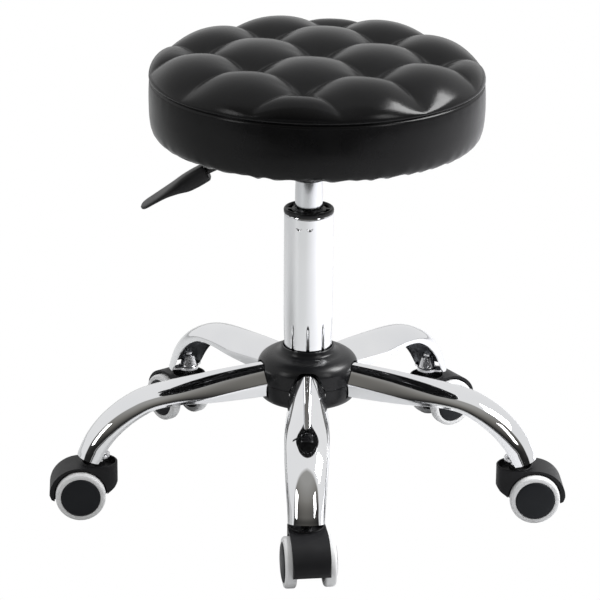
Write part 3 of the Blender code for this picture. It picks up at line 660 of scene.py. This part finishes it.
def hood_mesh():
    """Stem boss with a sunk top, fender over both wheels and the web between them."""
    at_axle = Matrix.Translation((TRAIL, 0.0, WHEEL_Z))
    tools = [("INTERSECT", prism(hood_plan(), 5.0, 70.0))]
    for side in (-1.0, 1.0):
        room = [(0.0, WEB_HALF), (WHEEL_ROOM_R, WEB_HALF), (WHEEL_ROOM_R, 34.0), (0.0, 34.0)]
        room = lathe(room, 128, closed=False, axis="Y")
        room.transform(at_axle @ Matrix.Diagonal((1.0, side, 1.0, 1.0)))
        tools.append(("DIFFERENCE", room))
    bore = lathe([(0.0, -40.0), (3.05, -40.0), (3.05, 40.0), (0.0, 40.0)], 32, closed=False, axis="Y")
    bore.transform(at_axle)
    tools.append(("DIFFERENCE", bore))
    cup = [(0.0, 38.0), (5.55, 38.0), (5.55, 48.4), (15.4, 48.4), (16.4, 51.0), (16.5, 62.0), (0.0, 62.0)]
    tools.append(("DIFFERENCE", lathe(cup, 96, closed=False)))
    return cut(finish_mesh("hood", prism(hood_side(), -25.0, 25.0, "Y")), *tools)


STEM_PROFILE = rounded(
    [
        (0.0, 38.3),
        (5.5, 38.3),
        (5.5, 70.2),
        (3.5, 71.2),
        (3.5, 75.8),
        (4.3, 76.4),
        (4.3, 78.8),
        (3.0, 80.2),
        (0.0, 80.2),
    ],
    (0.0, 0.8, 0.4, 0.4, 0.3, 0.4, 0.5, 0.5, 0.0),
    3,
)

DISC_PROFILE = rounded(
    [
        (0.0, 22.8),
        (3.12, 22.8),
        (3.12, 13.3),
        (8.0, 13.3),
        (16.6, 18.0),
        (19.7, 13.9),
        (19.7, 24.6),
        (18.5, 25.7),
        (15.0, 26.25),
        (9.0, 26.85),
        (0.0, 27.1),
    ],
    (0.0, 0.0, 0.3, 0.5, 1.0, 0.3, 0.5, 0.9, 4.0, 5.0, 0.0),
    4,
)

TYRE_PROFILE = rounded(
    [
        (19.75, 13.6),
        (23.6, 13.6),
        (25.0, 15.2),
        (25.0, 22.6),
        (23.9, 24.5),
        (21.6, 25.0),
        (19.75, 24.7),
    ],
    (0.3, 0.9, 1.0, 1.6, 1.5, 1.2, 0.5),
    4,
    True,
)

CUP_RIM = rounded([(16.5, 53.2), (18.1, 53.2), (18.1, 54.6), (17.4, 55.1), (16.5, 54.9)], 0.35, 3, True)


def casters():
    for n in LEGS:
        stem = centre_of(f"caster_stem_{n}") - AXIS
        axle = centre_of(f"caster_axle_{n}") - AXIS
        heading = math.atan2(axle.y - stem.y, axle.x - stem.x)
        place = Matrix.Translation((stem.x * 1000.0, stem.y * 1000.0, 0.0)) @ Matrix.Rotation(heading, 4, "Z")
        body = f"caster_{n}"
        hood = piece(f"{body}_hood", hood_mesh(), NYLON, body, [f"caster_hood_{n}"], place)
        bevel(hood, 0.55, 3)
        rim = finish_mesh("rim", lathe(CUP_RIM, 96))
        piece(f"{body}_rim", rim, NYLON, body, (), place)
        pin = finish_mesh("pin", lathe(STEM_PROFILE, 48, closed=False), 50.0)
        piece(f"{body}_pin", pin, BRIGHT, body, [f"caster_stem_{n}"], place)
        at_axle = place @ Matrix.Translation((TRAIL, 0.0, WHEEL_Z))
        for side, mark in ((-1.0, "a"), (1.0, "b")):
            flip = at_axle @ Matrix.Diagonal((1.0, side, 1.0, 1.0))
            low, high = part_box(f"wheel_core_{n}{mark}")
            middle = (low + high) / 2 - AXIS
            across = Vector((-math.sin(heading), math.cos(heading), 0.0))
            if (middle - axle).dot(across) * side < 0:
                flip = at_axle @ Matrix.Diagonal((1.0, -side, 1.0, 1.0))
            disc = finish_mesh("disc", lathe(DISC_PROFILE, 96, closed=False, axis="Y"), 50.0)
            disc.transform(flip)
            tyre = finish_mesh("tyre", lathe(TYRE_PROFILE, 128, axis="Y"), 50.0)
            tyre.transform(flip)
            for mesh in (disc, tyre):
                if flip.determinant() < 0:
                    mesh.flip_normals()
            wheel = f"wheel_{n}{mark}"
            piece(f"{wheel}_disc", disc, DISC, wheel, [f"wheel_core_{n}{mark}"])
            piece(f"{wheel}_tyre", tyre, TYRE, wheel, [f"tyre_{n}{mark}"])


casters()


# Gas lift -----------------------------------------------------------------------------------------


def flute_angles():
    """Angles round the tube, closer together at each of the nine pressed flutes."""
    out = []
    for flute in range(9):
        middle = -math.pi / 2 + flute * 2 * math.pi / 9
        half = [0.012, 0.024, 0.036, 0.05, 0.065, 0.085, 0.11]
        fine = [-a for a in reversed(half)] + [0.0] + half
        wide = list(np.linspace(0.14, 2 * math.pi / 9 - 0.14, 14))
        out += [middle + a for a in fine + wide]
    return out


def tube_mesh():
    """The chrome tube: flutes pressed at its foot and two small crescents struck near the top."""
    heights = list(np.linspace(296.4, 289.4, 5)) + list(np.linspace(288.8, 281.6, 19))
    heights += list(np.linspace(276.4, 184.0, 14)) + list(np.linspace(181.5, 153.0, 24)) + [146.0, 113.0]
    angles = np.array(flute_angles() + list(np.linspace(-2.06, -1.42, 90)))
    angles = np.unique(np.round(np.mod(angles, 2 * math.pi), 4))
    flutes = -math.pi / 2 + np.arange(9) * 2 * math.pi / 9
    crimps = (math.asin(-9.6 / 24.75), math.asin(1.1 / 24.75))
    bm = bmesh.new()
    rings = []
    for z in heights:
        base = 24.8 - 0.75 * max(0.0, min(1.0, (188.0 - z) / 26.0)) ** 1.5
        apart = (angles[:, None] - flutes[None, :] + math.pi) % (2 * math.pi) - math.pi
        away = np.abs(apart).min(axis=1) * base
        open_share = max(0.0, min(1.0, (180.0 - z) / 22.0))
        half = 0.55 + 1.15 * open_share
        radius = base - 1.9 * open_share**0.7 * np.clip(1.0 - away / half, 0.0, 1.0) ** 0.85
        for crimp in crimps:
            x = (((angles + math.pi / 2 - crimp + math.pi) % (2 * math.pi)) - math.pi) * base
            y = z - 286.8
            arc = y + 1.5 - 0.16 * x * x * 1.6
            dent = np.exp(-((arc / 0.62) ** 2)) * np.clip(1.0 - (x / 3.1) ** 2, 0.0, 1.0)
            radius = radius - 0.9 * dent
        rings.append([bm.verts.new((r * math.cos(a), r * math.sin(a), z)) for r, a in zip(radius, angles)])
    top_line = ((24.5, 297.1), (23.0, 297.1), (22.9, 288.4), (22.6, 180.0), (21.6, 153.0), (21.4, 113.0))
    for r, z in top_line:
        rings.insert(0, [bm.verts.new((r * math.cos(a), r * math.sin(a), z)) for a in angles])
    count = len(angles)
    for near, far in zip(rings, rings[1:] + rings[:1]):
        for i in range(count):
            j = (i + 1) % count
            bm.faces.new((near[i], near[j], far[j], far[i]))
    return finish_mesh("tube", bm, 50.0)


def slot_tool(start, end, inner, outer, low, high):
    """An arc-shaped slot about the axis, from one angle to another, in degrees."""
    turns = [math.radians(a) for a in np.linspace(start, end, 14)]
    outline = [(outer * math.cos(a), outer * math.sin(a)) for a in turns]
    outline += [(inner * math.cos(a), inner * math.sin(a)) for a in reversed(turns)]
    return prism(outline, low, high)


def gas_lift():
    piece("lift_tube", tube_mesh(), CHROME, "base", ["outer_tube"])
    profile = rounded(
        [
            (14.2, 236.0),
            (22.6, 236.0),
            (22.6, 297.3),
            (25.1, 297.3),
            (25.25, 300.5),
            (24.2, 301.9),
            (22.6, 301.9),
            (22.1, 300.6),
            (16.4, 300.6),
            (15.9, 301.2),
            (14.2, 301.0),
        ],
        (0.0, 0.0, 0.0, 0.5, 0.9, 0.9, 0.5, 0.4, 0.4, 0.4, 0.4),
        4,
        True,
    )
    starts = range(0, 360, 45)
    tools = [("DIFFERENCE", slot_tool(a + 6.0, a + 39.0, 17.3, 21.2, 296.8, 306.0)) for a in starts]
    ring = piece("lift_guide_ring", cut(finish_mesh("ring", lathe(profile, 144)), *tools), RING, "base",
                 ["guide_bush"])
    bevel(ring, 0.25, 2)
    profile = rounded(
        [
            (5.2, 148.0),
            (13.9, 148.0),
            (13.9, 318.0),
            (13.0, 350.7),
            (3.2, 350.7),
            (3.2, 338.0),
            (10.6, 338.0),
            (10.6, 163.0),
            (5.2, 163.0),
        ],
        (0.0, 1.0, 0.0, 0.6, 0.3, 0.0, 0.0, 0.0, 0.0),
        3,
        True,
    )
    cylinder = finish_mesh("cylinder", lathe(profile, 96))
    piece("lift_cylinder", cylinder, SATIN, "seat", ["gas_cylinder"])


gas_lift()


# Seat ---------------------------------------------------------------------------------------------

PITCH = 82.0
TUFT_TURN = math.radians(45.0 - 6.8)
SEAT_R = 165.3
TOP_EDGE_Z = 439.0
DOME = 32.0
DIMPLE = 23.0
# The pad hangs a little lower on its right
PAD_LEAN = -0.0065
PAD_DROP = -1.07


def lattice(x, y):
    """Coordinates along the two sets of tuft lines."""
    c, s = math.cos(TUFT_TURN), math.sin(TUFT_TURN)
    return x * c + y * s, -x * s + y * c


def puff_share(x, y):
    """1 at the middle of a puff, about a half along a fold, 0 in a dimple."""
    u, v = lattice(x, y)
    a = np.abs(np.sin(math.pi * u / PITCH))
    b = np.abs(np.sin(math.pi * v / PITCH))
    pillow = ((a * b) ** 2 + 0.002) ** 0.26
    pit = np.sqrt(np.clip(a * a + b * b - a * a * b * b, 0.0, 1.0)) ** 0.8
    return 0.52 * pillow + 0.48 * pit


def dimple_pull(x, y):
    """Fine folds that run out of each dimple."""
    u, v = lattice(x, y)
    du = (u / PITCH + 0.5) % 1.0 - 0.5
    dv = (v / PITCH + 0.5) % 1.0 - 0.5
    reach = np.hypot(du, dv) * PITCH
    cell = np.floor(u / PITCH + 0.5) * 3.1 + np.floor(v / PITCH + 0.5) * 1.7
    turn = np.arctan2(dv, du)
    lines = np.sin(12.0 * turn + cell) + 0.6 * np.sin(7.0 * turn + 2.3 * cell)
    return lines * np.clip(reach / 4.0, 0.0, 1.0) * np.exp(-reach / 11.0)


def top_height(x, y):
    share = np.minimum(np.hypot(x, y) / SEAT_R, 1.0)
    dome = np.sqrt(np.clip(1.0 - share**5.5, 0.0, 1.0))
    depth = DIMPLE * np.clip(1.0 - share**7, 0.0, 1.0) ** 0.5
    height = TOP_EDGE_Z + DOME * dome - depth * (1.0 - puff_share(x, y))
    return height + 0.35 * dimple_pull(x, y) * np.clip(1.0 - share**7, 0.0, 1.0)


def tuft_lines(reach):
    """Grid lines along one lattice axis, close together near the folds."""
    cell = np.concatenate([[0.0, 0.35, 0.8, 1.4, 2.2, 3.4, 5.0, 7.2], np.linspace(10.0, 72.0, 24)])
    cell = np.concatenate([cell, PITCH - np.array([7.2, 5.0, 3.4, 2.2, 1.4, 0.8, 0.35])])
    lines = np.concatenate([cell + k * PITCH for k in range(-3, 3)])
    return lines[np.abs(lines) <= reach]


def seat_top_points(steps):
    lines = tuft_lines(SEAT_R)
    u, v = (a.ravel() for a in np.meshgrid(lines, lines))
    inside = np.hypot(u, v) < SEAT_R - 7.0
    c, s = math.cos(TUFT_TURN), math.sin(TUFT_TURN)
    grid = np.stack([u * c - v * s, u * s + v * c], axis=1)[inside]
    turns = np.linspace(0.0, 2 * math.pi, steps, endpoint=False)
    ring = np.stack([np.cos(turns), np.sin(turns)], axis=1)
    shares = (1.0, 0.9994, 0.9975, 0.994, 0.988, 0.979, 0.968)
    return np.vstack([ring * SEAT_R * share for share in shares] + [grid])


def seat_cover_mesh():
    """The sewn cover: tufted top, seam, side band, pleated edge and the hem drawn in below."""
    steps = 540
    flat = seat_top_points(steps)
    edges = [(i, (i + 1) % steps) for i in range(steps)]
    points, _, faces, *_ = delaunay_2d_cdt([Vector(p) for p in flat], edges, [], 1, 1e-5)
    flat = np.array([tuple(p) for p in points])
    bm = bmesh.new()
    height = top_height(flat[:, 0], flat[:, 1])
    made = [bm.verts.new((x, y, z)) for (x, y), z in zip(flat, height)]
    for face in faces:
        bm.faces.new([made[i] for i in face])
    profile = [(SEAT_R, TOP_EDGE_Z), (SEAT_R - 0.05, 438.3), (164.5, 437.5), (163.5, 436.9), (163.1, 436.5)]
    profile += [(163.4, 436.0), (164.3, 435.5), (164.8, 434.5)]
    lower = [(165.0, 433.6), (165.5, 424.0), (165.6, 412.0), (165.2, 400.0), (164.0, 391.0), (161.8, 384.6)]
    lower += [(158.4, 380.7), (153.8, 379.2), (147.0, 379.2), (139.5, 379.5), (134.6, 379.6)]
    profile += [tuple(p) for p in spline(lower, 64)]
    profile += [(134.0, 380.0), (134.6, 380.4), (151.4, 380.4), (151.6, 392.9)]
    turns = np.linspace(0.0, 2 * math.pi, steps, endpoint=False)
    gather = wave(turns, (53, 0.4, 0.5), (37, 1.9, 0.4), (71, 4.1, 0.3), (19, 2.2, 0.35))
    slack = wave(turns, (7, 0.3, 0.5), (12, 1.1, 0.3), (5, 2.0, 0.4))
    rings = []
    for r, z in profile:
        pleat = math.exp(-(((z - 381.3) / 7.0) ** 2)) if r > 150.0 else 0.0
        hem = 1.0 if 135.0 < r < 156.0 and z < 379.9 else 0.0
        near_seam = math.exp(-(((z - 435.6) / 9.0) ** 2))
        middle = max(0.0, 1.0 - abs(z - 409.0) / 28.0)
        fixed = r == SEAT_R and z == TOP_EDGE_Z
        push = gather * 0.85 * pleat + slack * 0.45 * middle + 0.35 * gather * near_seam * middle
        push = 0.0 if fixed else push
        drop = gather * (0.95 * pleat + 0.6 * hem) * (0.0 if fixed else 1.0)
        radius = r + push
        rings.append(np.stack([radius * np.cos(turns), radius * np.sin(turns), z + drop], axis=1))
    ring_verts = [[bm.verts.new(p) for p in ring] for ring in rings]
    for near, far in zip(ring_verts, ring_verts[1:]):
        for i in range(steps):
            j = (i + 1) % steps
            bm.faces.new((near[i], near[j], far[j], far[i]))
    return finish_mesh("cover", bm, 60.0)


def staple_mesh():
    """One wire staple lying across the hem, about the origin."""
    path = [(-4.6, 1.2), (-4.6, -0.5), (-4.0, -1.0), (4.0, -1.0), (4.6, -0.5), (4.6, 1.2)]
    path = rounded(path, 0.7, 3)
    rings = []
    for i, (x, z) in enumerate(path):
        before, after = path[max(i - 1, 0)], path[min(i + 1, len(path) - 1)]
        along = Vector((after[0] - before[0], 0.0, after[1] - before[1])).normalized()
        normal = Vector((-along.z, 0.0, along.x))
        ring = []
        for k in range(8):
            turn = 2 * math.pi * k / 8
            across = Vector((0.0, 0.55 * math.sin(turn), 0.0))
            ring.append(Vector((x, 0.0, z)) + normal * 0.35 * math.cos(turn) + across)
        rings.append(ring)
    return loft(rings)


def staples_mesh(count):
    bm = bmesh.new()
    for k in range(count):
        turn = 2 * math.pi * (k + 0.23 * math.sin(5.0 * k)) / count
        one = staple_mesh()
        lean = Matrix.Rotation(turn + math.pi / 2 + 0.16 * math.sin(3.7 * k), 4, "Z")
        spot = (140.5 * math.cos(turn), 140.5 * math.sin(turn), 379.3)
        one.transform(Matrix.Translation(spot) @ lean)
        mesh = bpy.data.meshes.new("one")
        one.to_mesh(mesh)
        one.free()
        bm.from_mesh(mesh)
        bpy.data.meshes.remove(mesh)
    return finish_mesh("staples", bm, 60.0)


def foam_mesh():
    profile = rounded(
        [(0.0, 392.9), (156.0, 392.9), (158.0, 404.0), (156.8, 428.0), (145.0, 439.6), (0.0, 440.0)],
        (0.0, 3.0, 12.0, 10.0, 14.0, 0.0),
        6,
    )
    return finish_mesh("foam", lathe(profile, 180, closed=False), 60.0)


def seat():
    """Cover, foam and staples stand about the board's middle, a little beside the column."""
    middle = (centre_of("seat_board") - AXIS) * 1000.0
    lean = Matrix.Identity(4)
    lean[2][0] = PAD_LEAN
    lean[2][3] = PAD_DROP
    place = Matrix.Translation((middle.x, middle.y, 0.0)) @ lean
    cover = piece("seat_cover_leather", seat_cover_mesh(), LEATHER, "seat", ["seat_cover"], place)
    foam = piece("seat_foam_block", foam_mesh(), FOAM, "seat", ["seat_foam"], place)
    sheet = lathe([(0.0, 380.45), (150.0, 380.45), (150.0, 380.65), (0.0, 380.65)], 96)
    flat = Matrix.Translation((middle.x, middle.y, 0.0))
    piece("seat_dust_cover", finish_mesh("dust_cover", sheet), FELT, "seat", (), flat)
    piece("seat_staples", staples_mesh(44), BRIGHT, "seat", (), place)


seat()


# Lever --------------------------------------------------------------------------------------------

BEND = Vector((-94.0, 0.0, 343.8))
SLOPE = math.radians(30.7)
OUT = Vector((-math.cos(SLOPE), 0.0, -math.sin(SLOPE)))
UP = Vector((-math.sin(SLOPE), 0.0, math.cos(SLOPE)))


def round_bar(points, radius, sides):
    rings = []
    for i, point in enumerate(points):
        before, after = points[max(i - 1, 0)], points[min(i + 1, len(points) - 1)]
        along = (after - before).normalized()
        normal = Vector((-along.z, 0.0, along.x))
        turns = [2 * math.pi * k / sides for k in range(sides)]
        across = Vector((0.0, radius, 0.0))
        ring = [point + normal * radius * math.cos(a) + across * math.sin(a) for a in turns]
        rings.append(ring)
    return loft(rings)


def lever_rod():
    corners = [(6.0, 362.7), (-32.0, 361.7), (-50.0, 358.3), (BEND.x, BEND.z)]
    far = BEND + OUT * 34.0
    line = even_line(rounded(corners + [(far.x, far.z)], (0.0, 12.0, 14.0, 14.0, 0.0), 8), 60)
    bar = finish_mesh("rod", round_bar([Vector((x, 0.0, z)) for x, z in line], 4.0, 32), 50.0)
    hole = lathe([(0.0, -10.0), (2.05, -10.0), (2.05, 10.0), (0.0, 10.0)], 24, closed=False, axis="Y")
    hole.transform(Matrix.Translation((-32.0, 0.0, 361.7)))
    piece("lever_bar", cut(bar, ("DIFFERENCE", hole)), BLACK_STEEL, "lever", ["lever_rod"])


def lever_paddle():
    """Reach along the lever, upper and lower side, half width."""
    rows = [
        (9.0, 7.6, -9.6, 8.8),
        (16.0, 8.0, -9.9, 9.2),
        (24.0, 8.0, -9.9, 9.7),
        (34.0, 7.4, -8.9, 10.6),
        (44.0, 5.8, -5.4, 12.3),
        (56.0, 4.2, -2.4, 13.8),
        (68.0, 3.0, -1.6, 14.0),
        (77.0, 2.4, -1.6, 13.4),
        (85.0, 1.9, -1.4, 12.8),
    ]
    rings = []
    for reach, high, low, half in spline(rows, 64):
        from_tip = max(0.0, 85.0 - reach)
        round_share = math.sqrt(max(0.0, 1.0 - (1.0 - min(from_tip / 8.5, 1.0)) ** 2))
        near = max(0.0, reach - 9.0)
        start_share = 0.88 + 0.12 * math.sqrt(max(0.0, 1.0 - (1.0 - min(near / 2.0, 1.0)) ** 2))
        half = max(half * round_share, 1.2)
        middle = (high + low) / 2
        tall = (high - low) / 2 * start_share * (0.35 + 0.65 * min(1.0, round_share * 1.3))
        ring = []
        for k in range(40):
            turn = 2 * math.pi * k / 40
            c, s = math.cos(turn), math.sin(turn)
            across = math.copysign(abs(c) ** 0.5, c) * half * start_share
            height = math.copysign(abs(s) ** 0.62, s) * tall + middle
            ring.append(BEND + OUT * reach + UP * height + Vector((0.0, across, 0.0)))
        rings.append(ring)
    mesh = finish_mesh("paddle", loft(rings), 50.0)
    far = BEND + OUT * 36.0
    bore = round_bar([BEND - OUT * 4.0, BEND + OUT * 10.0, far], 4.15, 32)
    mesh = cut(mesh, ("DIFFERENCE", bore))
    paddle = piece("lever_paddle", mesh, PADDLE, "lever", ["lever_handle"])
    bevel(paddle, 0.35, 2, 50.0)


lever_rod()
lever_paddle()


# Inner parts that stay as CAD nodes ----------------------------------------------------------------

KEPT = {
    "hub_core": BLACK_STEEL,
    "piston_rod": BRIGHT,
    "thrust_bearing": BRIGHT,
    "retaining_clip": BRIGHT,
    "release_pin": BLACK_STEEL,
    "seat_plate": BLACK_STEEL,
    "seat_board": PLYWOOD,
}
KEPT.update({f"seat_bolt_{k}": BRIGHT for k in range(1, 5)})
KEPT.update({f"caster_axle_{k}": BRIGHT for k in LEGS})
for name, mat in KEPT.items():
    node = NODES[name]
    node.data.materials.clear()
    node.data.materials.append(mat)
    bevel(node, 0.5 if name in ("seat_plate", "seat_board") else 0.2, 2)


# Studio -------------------------------------------------------------------------------------------


def studio_floor():
    mat, n, shader, place = new_material("studio_floor", Roughness=0.6)
    # Painted light: the floor's colour runs from darker on the left to lighter on the right, standing in for
    # more light falling on the right. The added noise is random tone.
    across = n.add("ShaderNodeSeparateXYZ", {"Vector": place}).outputs["X"]
    uneven = n.math("MULTIPLY", n.noise(place, 3.0), 0.1)
    tone = n.math("ADD", n.spread(across, 0.0, 0.9, -0.15, 0.45), uneven)
    link(n, n.ramp(tone, (0.0, (0.50, 0.505, 0.505)), (1.0, (0.64, 0.64, 0.66))), shader, "Base Color")
    bm = bmesh.new()
    bmesh.ops.create_circle(bm, cap_ends=True, segments=64, radius=9.0)
    mesh = bpy.data.meshes.new("studio_floor")
    bm.to_mesh(mesh)
    bm.free()
    mesh.materials.append(mat)
    floor = bpy.data.objects.new("studio_floor", mesh)
    bpy.context.scene.collection.objects.link(floor)
    floor.location.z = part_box("tyre_1a")[0].z - 0.0003
    floor.visible_camera = False


def dark_front():
    """What the bright parts mirror in front: the dim floor round the camera, beyond the white sweep."""
    mat, n, shader, place = new_material("dark_front", Roughness=0.9)
    tone = n.noise(place, 2.0, 2.0)
    link(n, n.ramp(tone, (0.3, (0.012, 0.012, 0.011)), (0.7, (0.020, 0.020, 0.018))), shader, "Base Color")
    bm = bmesh.new()
    near, far, wide = AXIS.y - 1.20, AXIS.y - 6.0, 4.0
    corners = ((-wide, far), (wide, far), (wide, near), (-wide, near))
    bm.faces.new([bm.verts.new((x, y, 0.0)) for x, y in corners])
    mesh = bpy.data.meshes.new("dark_front")
    bm.to_mesh(mesh)
    bm.free()
    mesh.materials.append(mat)
    plane = bpy.data.objects.new("dark_front", mesh)
    bpy.context.scene.collection.objects.link(plane)
    plane.location.z = 0.002
    plane.visible_camera = False
    plane.visible_diffuse = False
    plane.visible_shadow = False


def area_light(name, place, aim, width, height, power, colour=(1.0, 1.0, 1.0)):
    data = bpy.data.lights.new(name, "AREA")
    data.shape = "RECTANGLE"
    data.size = width
    data.size_y = height
    data.energy = power
    data.color = colour
    light = bpy.data.objects.new(name, data)
    bpy.context.scene.collection.objects.link(light)
    light.location = place
    light.rotation_mode = "QUATERNION"
    light.rotation_quaternion = (Vector(aim) - Vector(place)).to_track_quat("-Z", "Y")
    return light


def studio_world():
    """White to the eye; in reflections, a white sweep behind and at the sides and a dim room in front."""
    world = bpy.data.worlds.new("studio")
    world.use_nodes = True
    n = Nodes(world.node_tree)
    background = world.node_tree.nodes["Background"]
    way = n.add("ShaderNodeTexCoord").outputs["Generated"]
    split = n.add("ShaderNodeSeparateXYZ", {"Vector": way}).outputs
    aside = n.math("MULTIPLY", n.math("ABSOLUTE", split["X"]), 0.12)
    front = n.spread(n.math("ADD", split["Y"], aside), 1.0, 0.0, -0.18, -0.10)
    risen = n.spread(split["Z"], 0.0, 1.0, -0.02, 0.02)
    dim = n.math("MULTIPLY", front, risen)
    wall = n.ramp(
        split["Z"],
        (0.0, (0.015, 0.015, 0.014)),
        (0.13, (0.02, 0.02, 0.02)),
        (0.30, (0.07, 0.067, 0.062)),
        (0.62, (0.20, 0.192, 0.176)),
        (0.9, (0.34, 0.335, 0.32)),
    )
    seen = n.add("ShaderNodeLightPath").outputs["Is Camera Ray"]
    around = n.mix(dim, (0.85, 0.85, 0.85), wall)
    shown = n.mix(seen, around, (1.0, 1.0, 1.0))
    world.node_tree.links.new(shown, background.inputs["Color"])
    background.inputs["Strength"].default_value = 1.0
    bpy.context.scene.world = world


studio_floor()
dark_front()
studio_world()
top = area_light("top_softbox", (0.0, 0.1, 2.2), (0.0, 0.0, 0.2), 1.8, 1.8, 14.0)
top.visible_glossy = False
area_light("right_softbox", (1.55, 0.10, 1.70), (0.0, 0.0, 0.4), 0.9, 1.0, 62.0)
area_light("front_right_softbox", (1.7, -1.5, 1.3), (0.0, 0.0, 0.3), 0.5, 1.0, 9.0)
area_light("left_softbox", (-1.9, -1.2, 1.1), (0.0, 0.0, 0.25), 0.5, 1.1, 9.0)
bpy.context.scene.view_settings.view_transform = "Standard"
